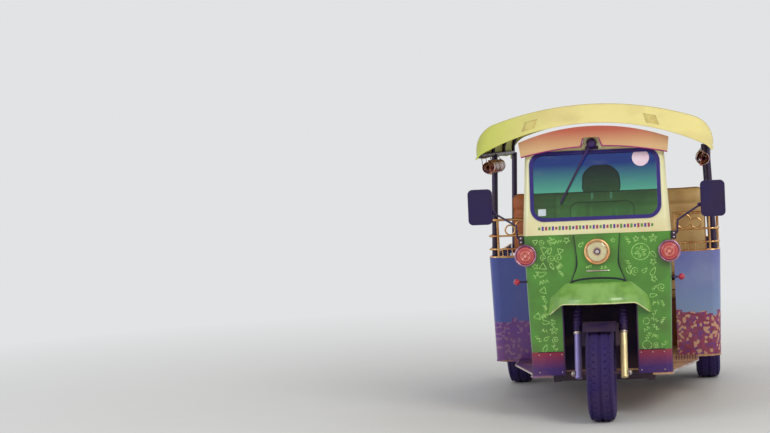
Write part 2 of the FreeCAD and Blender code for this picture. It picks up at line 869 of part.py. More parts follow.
def canopy_section(y, crown_z, crown_radius, shoulder_radius, half_width, end_angle, drop):
    """A closed band of fabric across the vehicle."""
    numbers = (y, crown_z, crown_radius, shoulder_radius, half_width, end_angle, drop)
    outer, outer_left, outer_right = canopy_curve(*numbers, 0)
    inner, inner_left, inner_right = canopy_curve(*numbers, canopy_thickness)
    edges = outer + inner
    edges.append(Part.LineSegment(outer_right, inner_right).toShape())
    edges.append(Part.LineSegment(inner_left, outer_left).toShape())
    return Part.Wire(Part.sortEdges(edges)[0])


def canopy():
    """The stretched cover, taut from hoop to hoop, with an eave that slopes down in front and behind."""
    half = canopy_width / 2
    main = (canopy_crown_z, canopy_crown_radius, canopy_shoulder_radius, half, 90, canopy_full_drop)
    sections = [
        canopy_section(hoop_front_y - canopy_front_overhang, canopy_front_crown_z,
                       canopy_front_crown_radius, 100, half + 5, 50, 15),
        canopy_section(hoop_front_y - 20, *main),
        canopy_section(hoop_rear_y + 14, *main),
        canopy_section(hoop_rear_y + canopy_rear_overhang, canopy_crown_z - 60, canopy_crown_radius,
                       canopy_shoulder_radius, half, 80, canopy_full_drop),
    ]
    return Part.makeLoft(sections, True, True)


def rolled_curtain():
    """A clear side curtain rolled up and strapped under the edge of the canopy."""
    high = canopy_skirt_z - seat_gap
    outer = canopy_width / 2 - frame_inset + 10
    corners = [(outer - 90, high - 170, 35), (outer - 10, high - 170, 35), (outer, high, 15), (outer - 90, high, 15)]
    return slab(corners, hoop_front_y + 40, pillar_y - hoop_front_y - 80)


def rear_bumper():
    y = overall_length / 2 - 22
    route = [
        V(-560, body_rear_y, 430),
        V(-560, y, 430),
        V(560, y, 430),
        V(560, body_rear_y, 430),
    ]
    return bent_tube(route, 22, 70)


plate_hole_spacing = 220.0


def plate_bracket():
    """A pressed plate that stands off the rear panel on its two folded edges, with two holes."""
    half = 170.0
    low, high = 560.0, 680.0
    front = body_rear_y + seat_gap
    face = front + 18
    plate = box(-half, half, face, face + 3, low, high)
    edges = [box(-half, half, front, face + 3, z, z + 3) for z in (low, high - 3)]
    bracket = fuse([plate] + edges)
    for x in (-plate_hole_spacing / 2, plate_hole_spacing / 2):
        bracket = bracket.cut(rod(V(x, front - 5, (low + high) / 2), V(x, face + 10, (low + high) / 2), 3.5))
    return bracket


# Running gear

axle_casing_radius = 105.0
brake_drum_radius = 105.0
stub_radius = 16.0


def rear_axle():
    """The live axle in one turned form: casing, tubes, brake drums and the stubs that carry the wheels."""
    drum_inner = rear_wheel_x - tyre_width / 2 - 40
    drum_outer = drum_inner + 42
    end = rear_wheel_x + 47
    half = [
        (stub_radius, end, 0),
        (stub_radius, drum_outer, 0),
        (brake_drum_radius, drum_outer, 8),
        (brake_drum_radius, drum_inner, 8),
        (axle_tube_radius, drum_inner, 10),
        (axle_tube_radius, axle_casing_radius + 20, 40),
        (axle_casing_radius, 45, 50),
    ]
    other = [(radius, -across, bend) for radius, across, bend in reversed(half)]
    profile = [(0, end, 0)] + half + other + [(0, -end, 0)]
    centre = V(0, rear_axle_y, tyre_radius)
    return revolve_profile(profile, lambda r, across: centre + V(across, 0, r), centre, V(1, 0, 0))


leaf_thickness = 8.0
leaf_reaches = (spring_reach, 300.0, 210.0)


def leaf_springs():
    """Three curved leaves a side, the longest on top with an eye at each end, on the axle tube."""
    stack = leaf_thickness * len(leaf_reaches)
    top_z = tyre_radius + axle_tube_radius + seat_gap + stack
    rise = spring_eye(1).z - top_z
    radius = (spring_reach ** 2 + rise ** 2) / (2 * rise)
    x = spring_x - spring_width / 2
    centre = V(x, rear_axle_y, top_z + radius)
    pieces = []
    for i, reach in enumerate(leaf_reaches):
        outer = Part.makeCylinder(radius + (i + 1) * leaf_thickness, spring_width, centre, V(1, 0, 0))
        inner = Part.makeCylinder(radius + i * leaf_thickness, spring_width, centre, V(1, 0, 0))
        keep = box(x, x + spring_width, rear_axle_y - reach, rear_axle_y + reach, 0, 600)
        pieces.append(outer.cut(inner).common(keep))
    for end in (-1, 1):
        eye = spring_eye(end)
        pieces.append(rod(V(x, eye.y, eye.z), V(x + spring_width, eye.y, eye.z), 15))
    spring = fuse(pieces)
    for end in (-1, 1):
        eye = spring_eye(end)
        spring = spring.cut(rod(V(x - 5, eye.y, eye.z), V(x + spring_width + 5, eye.y, eye.z),
                                spring_pin_radius + seat_gap))
    return both_sides(spring)


motor_radius = 80.0


def drive_motor():
    """The electric motor, bolted to the front of the axle casing."""
    y1 = rear_axle_y - axle_casing_radius - seat_gap
    return rod(V(0, y1 - 230, tyre_radius), V(0, y1, tyre_radius), motor_radius)


def battery_block():
    """The battery as one block across the rails, inside the bench base."""
    low = rail_high_z + rail_height + seat_gap
    half = rail_x + rail_width / 2 - 5
    return box(-half, half, kick_end_y + 10, kick_end_y + 340, low, bench_base_z - bench_board - 4)


# Steering

fork_foot = V(fork_spacing / 2, front_axle_y, tyre_radius)


def fork_point(distance):
    """A point on the centre line of the fork leg on the positive side, measured up from the axle."""
    return fork_foot + axis_direction * distance


leg_length = (crown_z - tyre_radius) / math.cos(axis_tilt)
slider_top = 245.0
steerer_end = axis_point(1005)


def steering_fork():
    """The upper fork tubes in their bellows, the crown that joins them and the steerer."""
    legs = []
    for side in LEFT_RIGHT:
        flip = lambda point: V(side * point.x, point.y, point.z)
        legs.append(rod(flip(fork_point(slider_top)), flip(fork_point(leg_length)), 17))
        for i in range(6):
            legs.append(Part.makeCylinder(25, 13, flip(fork_point(slider_top + 16 + i * 22)), axis_direction))
    crown_centre = fork_point(leg_length)
    offset = axis_point(crown_z).y - crown_centre.y
    crown = Part.makeBox(fork_spacing + 46, 34 + offset, 32, V(-fork_spacing / 2 - 23, -26, -16))
    crown.rotate(V(0, 0, 0), V(1, 0, 0), -rake)
    crown.translate(V(0, crown_centre.y, crown_centre.z))
    start = axis_point(crown_z) - axis_direction * (offset * math.sin(axis_tilt))
    steerer = rod(start, steerer_end, steerer_radius)
    return fuse(legs + [crown, steerer])


def fork_sliders():
    solids = []
    for side in LEFT_RIGHT:
        start = fork_point(-28)
        end = fork_point(slider_top - seat_gap)
        start = V(side * start.x, start.y, start.z)
        end = V(side * end.x, end.y, end.z)
        slider = rod(start, end, slider_radius)
        hole = rod(V(-300, front_axle_y, tyre_radius), V(300, front_axle_y, tyre_radius), axle_radius)
        solids.append(slider.cut(hole))
    return gather(solids)


def front_axle():
    half = fork_spacing / 2 + slider_radius + 14
    return rod(V(-half, front_axle_y, tyre_radius), V(half, front_axle_y, tyre_radius), axle_radius)


def front_mudguard():
    """A narrow guard close over the tyre, with a stay to each fork slider."""
    radius = tyre_radius + 20
    half = 95.0
    centre = V(-half, front_axle_y, tyre_radius)
    outer = Part.makeCylinder(radius + 4, 2 * half, centre, V(1, 0, 0))
    inner = Part.makeCylinder(radius, 2 * half, centre, V(1, 0, 0))
    keep = side_slab([
        (front_axle_y, tyre_radius, 0),
        (front_axle_y + 340, tyre_radius + 60, 0),
        (front_axle_y + 340, tyre_radius + 400, 0),
        (front_axle_y - 240, tyre_radius + 400, 0),
    ], -half, 2 * half)
    pieces = [outer.cut(inner).common(keep)]
    stay_outer = fork_spacing / 2 - slider_radius - seat_gap
    stay_inner = tyre_width / 2 + 7
    for side in LEFT_RIGHT:
        for outer_x, low, high in ((stay_outer, 165, slider_top - 5), (stay_outer - 6, slider_top - 10, radius + 2)):
            stay = Part.makeBox(outer_x - stay_inner, 26, high - low, V(0, -13, 0))
            stay.rotate(V(0, 0, 0), V(1, 0, 0), -rake)
            foot = fork_point(low)
            stay.translate(V(stay_inner if side > 0 else -outer_x, foot.y, foot.z))
            pieces.append(stay)
    return fuse(pieces)


def handlebar():
    """One bent tube clamped on top of the steerer, swept back to the grips."""
    clamp = steerer_end + axis_direction * (12 + seat_gap)
    half_route = [(70, 0, 0), (190, 60, 28), (330, 110, 33)]
    right = [V(x, clamp.y + back, clamp.z + up) for x, back, up in half_route]
    left = [V(-point.x, point.y, point.z) for point in reversed(right)]
    return bent_tube(left + right, 12, 40)


# Wheels

def tyre(centre_x, y):
    half = tyre_width / 2
    seat = rim_seat_diameter / 2
    profile = [
        (seat, -half * 0.72, 0),
        (seat + 40, -half, 30),
        (tyre_radius - 30, -half, 30),
        (tyre_radius, -half * 0.72, 40),
        (tyre_radius, half * 0.72, 40),
        (tyre_radius - 30, half, 30),
        (seat + 40, half, 30),
        (seat, half * 0.72, 0),
    ]
    place = lambda r, across: V(centre_x + across, y, tyre_radius + r)
    return revolve_profile(profile, place, V(centre_x, y, tyre_radius), V(1, 0, 0))


def rim(centre_x, y, bore, dish_side):
    """A pressed wheel: flanges, a drop centre, a dished disc and a hub."""
    half = tyre_width / 2 * 0.72
    seat = rim_seat_diameter / 2 - seat_gap
    profile = [
        (seat, -half, 0),
        (seat, half, 0),
        (seat - 8, half, 0),
        (seat - 22, 30, 0),
        (seat - 22, dish_side * 20 + 8, 0),
        (60, dish_side * 20 + 8, 0),
        (45, 45, 0),
        (bore, 45, 0),
        (bore, -45, 0),
        (45, -45, 0),
        (60, dish_side * 20 - 2, 0),
        (seat - 22, dish_side * 20 - 2, 0),
        (seat - 22, -30, 0),
        (seat - 8, -half, 0),
    ]
    place = lambda r, across: V(centre_x + across, y, tyre_radius + r)
    return revolve_profile(profile, place, V(centre_x, y, tyre_radius), V(1, 0, 0))


def save(name, shape):
    shape.exportStep("parts/" + name + ".step")


def main():
    os.makedirs("parts", exist_ok=True)
    save("front_panel", front_panel())
    save("front_valance", front_valance())
    save("nose_panel", nose_panel())
    save("front_brow", front_brow())
    save("wheel_well", wheel_well())
    save("windscreen_frame", windscreen_frame())
    save("windscreen_gasket", windscreen_gasket())
    save("windscreen_glass", windscreen_glass())
    save("wiper", wiper())
    save("roof_peak", roof_peak())
    save("dash_console", dash_console())
    save("headlamp_shell", lamp_shell(headlamp_centre, headlamp_radius, 11.5))
    save("headlamp_lens", lamp_lens(headlamp_centre, headlamp_radius))
    save("side_lamp_shells", side_lamp_shells())
    save("side_lamp_lenses", side_lamp_lenses())
    save("indicator_stalks", indicator_stalks())
    save("indicator_bulbs", indicator_bulbs())
    save("mirror_arms", mirror_arms())
    save("mirror_heads", mirror_heads())
    save("mirror_glasses", mirror_glasses())
    save("tail_lamp_shells", tail_lamp_shells())
    save("tail_lamp_lenses", tail_lamp_lenses())
    save("chassis_frame", chassis_frame())
    save("floor_platform", floor_platform())
    save("driver_seat_base", driver_seat_base())
    save("driver_cushion", driver_cushion())
    save("driver_backrest", driver_backrest())
    save("driver_headrest", driver_headrest())
    save("bench_base", bench_base())
    save("bench_cushion", bench_cushion())
    save("bench_backrest", bench_backrest())
    save("side_panel_left", side_panel())
    save("side_panel_right", mirrored(side_panel()))
    save("rear_panel", rear_panel())
    save("rear_wheel_housings", both_sides(rear_wheel_housing()))
    save("corner_rails", corner_rails())
    save("canopy_frame", canopy_frame())
    save("canopy", canopy())
    save("rolled_curtains", both_sides(rolled_curtain()))
    save("rear_bumper", rear_bumper())
    save("plate_bracket", plate_bracket())
    save("rear_axle", rear_axle())
    save("leaf_springs", leaf_springs())
    save("drive_motor", drive_motor())
    save("battery_block", battery_block())
    save("steering_fork", steering_fork())
    save("fork_sliders", fork_sliders())
    save("front_axle", front_axle())
    save("front_mudguard", front_mudguard())
    save("handlebar", handlebar())
    save("front_wheel_tyre", tyre(0, front_axle_y))
    save("front_wheel_rim", rim(0, front_axle_y, axle_radius + shaft_gap, 1))
    for name, side in (("left", 1), ("right", -1)):
        save("rear_" + name + "_wheel_tyre", tyre(side * rear_wheel_x, rear_axle_y))
        save("rear_" + name + "_wheel_rim", rim(side * rear_wheel_x, rear_axle_y, stub_radius + shaft_gap, side))


main()
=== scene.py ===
import math

import bmesh
import bpy
import numpy as np
from mathutils import Matrix, Vector
from mathutils.bvhtree import BVHTree


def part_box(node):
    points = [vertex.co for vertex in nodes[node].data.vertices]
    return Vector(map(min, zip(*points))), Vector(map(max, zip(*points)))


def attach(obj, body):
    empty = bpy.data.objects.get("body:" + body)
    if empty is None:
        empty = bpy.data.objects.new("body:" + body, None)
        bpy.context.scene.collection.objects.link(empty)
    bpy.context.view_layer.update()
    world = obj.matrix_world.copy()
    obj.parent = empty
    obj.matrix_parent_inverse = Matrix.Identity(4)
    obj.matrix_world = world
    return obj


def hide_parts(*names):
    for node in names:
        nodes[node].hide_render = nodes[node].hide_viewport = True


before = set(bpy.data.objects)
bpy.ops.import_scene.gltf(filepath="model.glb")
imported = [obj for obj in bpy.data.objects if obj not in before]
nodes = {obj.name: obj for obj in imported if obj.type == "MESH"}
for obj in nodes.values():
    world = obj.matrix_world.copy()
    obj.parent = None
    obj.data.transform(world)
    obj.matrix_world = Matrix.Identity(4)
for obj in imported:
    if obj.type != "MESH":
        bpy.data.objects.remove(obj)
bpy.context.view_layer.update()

# An open three-wheeled taxi: a green cab front with chalk drawings, a cream windscreen frame, a fabric
# canopy on hoops and a bench behind. Metres; X to the vehicle's left, Y to its rear, Z up from the ground.


# Places read from the frame, and sizes that the solids share with the dressing

PANEL_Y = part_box("front_panel")[0][1]
PANEL_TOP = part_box("front_panel")[1][2]
NOSE_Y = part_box("nose_panel")[0][1]
TYRE_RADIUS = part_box("front_wheel_tyre")[1][2] / 2
TYRE_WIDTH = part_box("front_wheel_tyre")[1][0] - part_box("front_wheel_tyre")[0][0]
FRONT_AXLE_Y = (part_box("front_wheel_tyre")[0][1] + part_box("front_wheel_tyre")[1][1]) / 2
REAR_AXLE_Y = (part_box("rear_left_wheel_tyre")[0][1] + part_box("rear_left_wheel_tyre")[1][1]) / 2
REAR_WHEEL_X = (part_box("rear_left_wheel_tyre")[0][0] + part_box("rear_left_wheel_tyre")[1][0]) / 2
BODY_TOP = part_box("side_panel_left")[1][2]
BODY_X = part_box("side_panel_left")[1][0]
BODY_FRONT_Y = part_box("side_panel_left")[0][1]
BODY_REAR_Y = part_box("side_panel_left")[1][1]
FLOOR_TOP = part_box("floor_platform")[1][2]
RIM_RADIUS = 0.1525
FORK_X = 0.1335
RAKE = math.radians(22)
SCREEN_LEAN = math.radians(9)
HEADLAMP_Z, HEADLAMP_RADIUS = 0.985, 0.076
SIDE_LAMP_X, SIDE_LAMP_Z, SIDE_LAMP_RADIUS = 0.420, 0.975, 0.066
PANEL_BOTTOM = 0.400
PANEL_LOW_HALF, PANEL_HIGH_HALF = 0.412, 0.433
ARCH_HALF, ARCH_TOP = 0.215, 0.745


# Camera, at the photograph's viewing angle

PICTURE_WIDTH = 770
FOCAL_PIXELS = 2000.0
CAMERA_PLACE = (0.5037, -12.9359, 1.6382)
CAMERA_YAW, CAMERA_PITCH, CAMERA_ROLL = (math.radians(a) for a in (8.464, 1.919, -2.572))


def make_camera():
    """Right, up and back axes from yaw about Z, pitch down and roll about the line of sight."""
    right = Vector((math.cos(CAMERA_YAW), math.sin(CAMERA_YAW), 0))
    ahead = Vector((-math.sin(CAMERA_YAW) * math.cos(CAMERA_PITCH),
                    math.cos(CAMERA_YAW) * math.cos(CAMERA_PITCH), -math.sin(CAMERA_PITCH)))
    up = right.cross(ahead)
    rolled_right = math.cos(CAMERA_ROLL) * right + math.sin(CAMERA_ROLL) * up
    rolled_up = math.cos(CAMERA_ROLL) * up - math.sin(CAMERA_ROLL) * right
    data = bpy.data.cameras.new("camera")
    data.sensor_width = 36
    data.lens = FOCAL_PIXELS * data.sensor_width / PICTURE_WIDTH
    data.clip_end = 200
    camera = bpy.data.objects.new("camera", data)
    camera.matrix_world = Matrix.Translation(CAMERA_PLACE) @ Matrix(
        (rolled_right, rolled_up, -ahead)).transposed().to_4x4()
    bpy.context.scene.collection.objects.link(camera)
    bpy.context.scene.camera = camera


# Shader building

def put(tree, socket, value):
    """Feed a socket from another socket, or give it a fixed value."""
    if isinstance(value, bpy.types.NodeSocket):
        tree.links.new(value, socket)
    elif isinstance(value, tuple) and len(value) == 3 and len(socket.default_value) == 4:
        socket.default_value = (*value, 1)
    else:
        socket.default_value = value


def node(tree, kind, inputs=(), **settings):
    """A shader node with its settings, and its inputs as (name or number, value) pairs."""
    made = tree.nodes.new("ShaderNode" + kind)
    for name, value in settings.items():
        setattr(made, name, value)
    for name, value in inputs:
        put(tree, made.inputs[name], value)
    return made


def maths(tree, operation, first, second=0.0, third=None, clamp=False):
    inputs = [(0, first), (1, second)] + ([(2, third)] if third is not None else [])
    return node(tree, "Math", inputs, operation=operation, use_clamp=clamp).outputs[0]


def mix(tree, share, first, second):
    """A colour between two, by share."""
    return node(tree, "Mix", [(0, share), (6, first), (7, second)], data_type="RGBA").outputs[2]


def spread(tree, value, low, high, to_low=0.0, to_high=1.0):
    """A value carried from one range to another and held there."""
    inputs = [("Value", value), ("From Min", low), ("From Max", high),
              ("To Min", to_low), ("To Max", to_high)]
    return node(tree, "MapRange", inputs).outputs[0]


def steps(tree, share, stops, interpolation="LINEAR"):
    """A colour read from (position, display colour) stops."""
    ramp = node(tree, "ValToRGB", [(0, share)])
    ramp.color_ramp.interpolation = interpolation
    while len(ramp.color_ramp.elements) < len(stops):
        ramp.color_ramp.elements.new(0.5)
    for element, (place, colour) in zip(ramp.color_ramp.elements, stops):
        element.position = place
        element.color = (*linear(*colour), 1)
    return ramp.outputs[0]


def object_place(tree, axis=None):
    """Object coordinates, or one of the three."""
    place = node(tree, "TexCoord").outputs["Object"]
    return place if axis is None else node(tree, "SeparateXYZ", [(0, place)]).outputs[axis]


def noise(tree, place, scale, detail):
    return node(tree, "TexNoise", [("Vector", place), ("Scale", scale), ("Detail", detail)]).outputs[0]


def passing(tree, axis, low, high, first, second):
    """A colour that passes from one display colour to another along an axis of the vehicle."""
    return mix(tree, spread(tree, object_place(tree, axis), low, high), linear(*first), linear(*second))


def group(name, inputs, outputs):
    """An empty node group with named inputs (name, kind, value) and outputs (name, kind)."""
    tree = bpy.data.node_groups.new(name, "ShaderNodeTree")
    for label, kind, value in inputs:
        socket = tree.interface.new_socket(label, in_out="INPUT", socket_type="NodeSocket" + kind)
        if value is not None:
            socket.default_value = (*value, 1) if kind == "Color" else value
    for label, kind in outputs:
        tree.interface.new_socket(label, in_out="OUTPUT", socket_type="NodeSocket" + kind)
    return tree, tree.nodes.new("NodeGroupInput"), tree.nodes.new("NodeGroupOutput")


def use(tree, shared, inputs):
    """A shared group placed in a material with its own values."""
    made = tree.nodes.new("ShaderNodeGroup")
    made.node_tree = shared
    for name, value in inputs.items():
        put(tree, made.inputs[name], value)
    return made


def linear(red, green, blue):
    """Scene-linear colour from 8-bit display values."""
    value = np.array([red, green, blue], float) / 255
    curved = ((value + 0.055) / 1.055) ** 2.4
    return tuple(float(v) for v in np.where(value <= 0.04045, value / 12.92, curved))


# Shared effects

def make_weathering():
    """Uneven colour, fine specks, and dust that settles low down and in patches."""
    tree, given, out = group("weathering", [
        ("Colour", "Color", (0.5, 0.5, 0.5)), ("Shade", "Color", (0.3, 0.3, 0.3)),
        ("Dust", "Color", (0.4, 0.3, 0.25)), ("Amount", "Float", 0.2), ("Scale", "Float", 4.0),
        ("Roughness", "Float", 0.4)], [("Colour", "Color"), ("Roughness", "Float"), ("Height", "Float")])
    place = object_place(tree)
    broad = noise(tree, place, given.outputs["Scale"], 4.0)
    fine = noise(tree, place, maths(tree, "MULTIPLY", given.outputs["Scale"], 30.0), 3.0)
    colour = mix(tree, spread(tree, broad, 0.42, 0.72), given.outputs["Colour"], given.outputs["Shade"])
    low_down = spread(tree, object_place(tree, 2), 0.75, 0.1, 0.25, 1.0)
    patches = spread(tree, maths(tree, "ADD", broad, maths(tree, "MULTIPLY", fine, 0.5)), 0.62, 1.0)
    settled = maths(tree, "MULTIPLY", low_down, patches)
    dusty = maths(tree, "MULTIPLY", settled, given.outputs["Amount"], clamp=True)
    put(tree, out.inputs["Colour"], mix(tree, dusty, colour, given.outputs["Dust"]))
    rough = maths(tree, "MULTIPLY_ADD", fine, 0.12, given.outputs["Roughness"])
    put(tree, out.inputs["Roughness"],
        maths(tree, "ADD", maths(tree, "MULTIPLY", dusty, 0.4), rough, clamp=True))
    put(tree, out.inputs["Height"], fine)
    return tree


def make_crossed_bars():
    """Two sets of bands that cross, as in a weave or a tread plate."""
    tree, given, out = group("crossed_bars", [("Vector", "Vector", None), ("Scale", "Float", 300.0),
                                              ("Sharpness", "Float", 1.0)], [("Height", "Float")])
    bands = [node(tree, "TexWave", [("Vector", given.outputs["Vector"]), ("Scale", given.outputs["Scale"])],
                  wave_type="BANDS", bands_direction=way).outputs["Fac"] for way in "XY"]
    crossed = maths(tree, "MULTIPLY", bands[0], bands[1])
    put(tree, out.inputs["Height"], maths(tree, "MULTIPLY", crossed, given.outputs["Sharpness"], clamp=True))
    return tree


def make_hide_grain():
    """Small raised cells parted by creases, as pressed into vinyl."""
    tree, given, out = group("hide_grain", [("Scale", "Float", 500.0)], [("Height", "Float")])
    cells = node(tree, "TexVoronoi", [("Vector", object_place(tree)), ("Scale", given.outputs["Scale"])],
                 feature="DISTANCE_TO_EDGE")
    put(tree, out.inputs["Height"], spread(tree, cells.outputs["Distance"], 0.0, 0.12))
    return tree


def make_streaks():
    """Fine lines drawn out along one direction, as on polished or wiped metal."""
    tree, given, out = group("streaks", [("Stretch", "Vector", None)], [("Mask", "Float")])
    long_way = node(tree, "Mapping", [("Vector", object_place(tree)), ("Scale", given.outputs["Stretch"])])
    lines = noise(tree, long_way.outputs[0], 1.0, 5.0)
    put(tree, out.inputs["Mask"], spread(tree, lines, 0.55, 0.75))
    return tree


weathering = make_weathering()
crossed_bars = make_crossed_bars()
hide_grain = make_hide_grain()
streaks = make_streaks()
ROAD_DUST = linear(150, 110, 95)


# Finishes

def new_material(name, settings=()):
    """A material, its tree and its shader, with some of the shader's values set."""
    material = bpy.data.materials.new(name)
    material.use_nodes = True
    tree = material.node_tree
    shader = tree.nodes["Principled BSDF"]
    for label, value in settings:
        put(tree, shader.inputs[label], value)
    return material, tree, shader


def bump(tree, shader, height, strength, distance):
    made = node(tree, "Bump", [("Height", height), ("Strength", strength), ("Distance", distance)])
    put(tree, shader.inputs["Normal"], made.outputs[0])


def wear(tree, shader, colour, shade, roughness, amount, scale, dust=ROAD_DUST):
    """Weathered colour and roughness on a shader; gives the weathering's outputs."""
    worn = use(tree, weathering, {"Colour": colour, "Shade": shade, "Dust": dust, "Amount": amount,
                                  "Scale": scale, "Roughness": roughness}).outputs
    put(tree, shader.inputs["Base Color"], worn["Colour"])
    put(tree, shader.inputs["Roughness"], worn["Roughness"])
    return worn


def aged(name, colour, shade, roughness, metallic, dust, scale, coat):
    """A painted, moulded or metal surface with its own unevenness and dust."""
    material, tree, shader = new_material(name, [("Metallic", metallic), ("Coat Weight", coat)])
    worn = wear(tree, shader, linear(*colour), linear(*shade), roughness, dust, scale)
    bump(tree, shader, worn["Height"], 0.3, 0.0002)
    return material


# Name: colour, shade of it, roughness, metallic, dust, scale, coat
FINISH_TABLE = {
    "green_paint": ((76, 142, 40), (60, 114, 26), 0.28, 0, 0.25, 7.0, 0.4),
    # Paler than the green paint: partly worn paint, partly painted light on the brow's upward face.
    "brow_paint_painted_light": ((134, 182, 88), (94, 150, 54), 0.25, 0, 0.2, 13.0, 0.4),
    "cream_paint": ((238, 236, 188), (226, 212, 158), 0.32, 0, 0.15, 3.0, 0.3),
    "dark_paint": ((34, 4, 66), (24, 0, 48), 0.4, 0, 0.35, 6.0, 0.1),
    "well_paint": ((28, 0, 58), (20, 0, 44), 0.6, 0, 0.4, 8.0, 0.0),
    "axle_paint": ((44, 14, 78), (30, 6, 54), 0.5, 0.2, 0.6, 9.0, 0.0),
    "spring_steel": ((70, 52, 92), (48, 30, 70), 0.45, 0.7, 0.5, 12.0, 0.0),
    "cast_metal": ((120, 112, 128), (90, 80, 104), 0.5, 0.6, 0.5, 14.0, 0.0),
    "battery_case": ((52, 44, 66), (38, 30, 52), 0.5, 0, 0.3, 6.0, 0.0),
    "gasket_rubber": ((40, 22, 120), (30, 10, 96), 0.5, 0, 0.1, 12.0, 0.0),
    "trim_rubber": ((40, 8, 84), (28, 2, 62), 0.55, 0, 0.2, 12.0, 0.0),
    "lamp_plastic": ((46, 6, 92), (34, 0, 74), 0.35, 0, 0.1, 8.0, 0.1),
    "mirror_plastic": ((26, 0, 70), (20, 0, 58), 0.62, 0, 0.1, 6.0, 0.0),
    "silver_paint": ((206, 192, 184), (176, 158, 160), 0.3, 0.7, 0.4, 8.0, 0.1),
    "edge_rubber": ((58, 14, 78), (40, 4, 60), 0.5, 0, 0.3, 14.0, 0.0),
    "inner_board": ((150, 88, 48), (128, 66, 40), 0.5, 0, 0.25, 3.0, 0.0),
    "housing_paint": ((58, 20, 92), (40, 8, 70), 0.55, 0, 0.5, 6.0, 0.0),
    "bare_plate": ((222, 222, 214), (206, 204, 198), 0.45, 0, 0.2, 6.0, 0.1),
    "pale_sticker": ((214, 222, 226), (190, 202, 214), 0.4, 0, 0.0, 10.0, 0.0),
    "pink_sticker": ((236, 206, 224), (240, 232, 240), 0.4, 0, 0.0, 16.0, 0.0),
    "black_line": ((24, 20, 46), (16, 10, 34), 0.45, 0, 0.1, 10.0, 0.0),
    # Pale cream: painted highlight along the brow's rounded lower edge.
    "lip_paint_painted_highlight": ((226, 232, 170), (170, 190, 110), 0.35, 0, 0.1, 20.0, 0.2),
    "magenta_line": ((168, 36, 122), (130, 20, 110), 0.4, 0, 0.1, 16.0, 0.1),
    "green_bar": ((96, 140, 70), (76, 120, 60), 0.5, 0, 0.0, 40.0, 0.0),
    "violet_bar": ((96, 60, 150), (80, 50, 140), 0.5, 0, 0.0, 40.0, 0.0),
    "crimson_bar": ((170, 50, 90), (150, 40, 90), 0.5, 0, 0.0, 40.0, 0.0),
    "seam_thread": ((196, 184, 116), (176, 160, 100), 0.7, 0, 0.2, 20.0, 0.0),
    # Darker than the canopy cloth: painted shade of folds in the cloth.
    "patch_cloth_painted_fold_shade": ((222, 206, 126), (204, 180, 108), 0.7, 0, 0.2, 20.0, 0.0),
    "piping_vinyl": ((150, 100, 60), (120, 74, 46), 0.45, 0, 0.1, 20.0, 0.0),
    "bulb_glass": ((250, 242, 252), (216, 190, 240), 0.12, 0, 0.0, 60.0, 0.6),
}
finishes = {name: aged(name, *row) for name, row in FINISH_TABLE.items()}
# Heights between which the windscreen's tint changes, and the rear end of the side panels
TINT_HEIGHTS = (1.22, 1.50)
SIDE_PANEL_END = 1.385


def make_chrome(name, colour, shade, roughness):
    """Bright plating with wiped streaks and a little tarnish."""
    material, tree, shader = new_material(name, [("Metallic", 1.0)])
    worn = wear(tree, shader, linear(*colour), linear(*shade), roughness, 0.15, 14.0)
    wiped = use(tree, streaks, {"Stretch": (40.0, 40.0, 400.0)}).outputs["Mask"]
    put(tree, shader.inputs["Roughness"], maths(tree, "MULTIPLY_ADD", wiped, 0.15, worn["Roughness"]))
    return material


def make_clear_glass(name, low_tint, high_tint):
    """Glass with faint wiped dust, its tint passing from one colour to another up the windscreen."""
    material, tree, shader = new_material(name, [("Transmission Weight", 1.0), ("IOR", 1.45)])
    wiped = use(tree, streaks, {"Stretch": (6.0, 6.0, 26.0)}).outputs["Mask"]
    tint = passing(tree, 2, *TINT_HEIGHTS, low_tint, high_tint)
    dusty = mix(tree, maths(tree, "MULTIPLY", wiped, 0.08), tint, linear(200, 205, 200))
    put(tree, shader.inputs["Base Color"], dusty)
    put(tree, shader.inputs["Roughness"], maths(tree, "MULTIPLY_ADD", wiped, 0.05, 0.01))
    return material


def make_lens(name, colour, deep):
    """Moulded coloured lens: ribs in its thickness and a deeper tone where it is thick."""
    material, tree, shader = new_material(name, [
        ("Roughness", 0.12), ("Coat Weight", 0.6), ("Emission Color", linear(*colour)),
        ("Emission Strength", 0.05)])
    place = object_place(tree)
    thick = spread(tree, noise(tree, place, 26.0, 2.0), 0.35, 0.65)
    put(tree, shader.inputs["Base Color"], mix(tree, thick, linear(*colour), linear(*deep)))
    ribs = use(tree, crossed_bars, {"Vector": place, "Scale": 60.0, "Sharpness": 1.4})
    bump(tree, shader, ribs.outputs["Height"], 0.4, 0.0006)
    return material


def make_slider_paint():
    """Bright metal with painted light and shade: a cooler violet painted shade on the vehicle's right and a
    warm painted light on its left.
    """
    material, tree, shader = new_material("slider_paint_painted_shading", [("Metallic", 0.3)])
    # Violet painted shade at the vehicle's right, warm painted light at its left.
    colour = passing(tree, 0, -0.05, 0.05, (150, 140, 205), (244, 224, 166))
    worn = wear(tree, shader, colour, colour, 0.3, 0.3, 9.0)
    wiped = use(tree, streaks, {"Stretch": (60.0, 60.0, 8.0)}).outputs["Mask"]
    put(tree, shader.inputs["Base Color"],
        mix(tree, maths(tree, "MULTIPLY", wiped, 0.3), worn["Colour"], linear(120, 90, 110)))
    return material


def make_tan_vinyl():
    """Grained vinyl, paler in worn patches, with a ruddier painted shade at the vehicle's right."""
    material, tree, shader = new_material("tan_vinyl_painted_shade", [("Sheen Weight", 0.1)])
    # Both colours turn ruddier towards the vehicle's right: painted shade.
    main_with_painted_shade, rubbed_and_painted_shade = (passing(tree, 0, -0.62, -0.30, (186, 98, 44), colour)
                    for colour in ((206, 172, 112), (184, 142, 86)))
    wear(tree, shader, main_with_painted_shade, rubbed_and_painted_shade, 0.42, 0.1, 5.0)
    grain = use(tree, hide_grain, {"Scale": 420.0})
    bump(tree, shader, grain.outputs["Height"], 0.35, 0.0004)
    return material


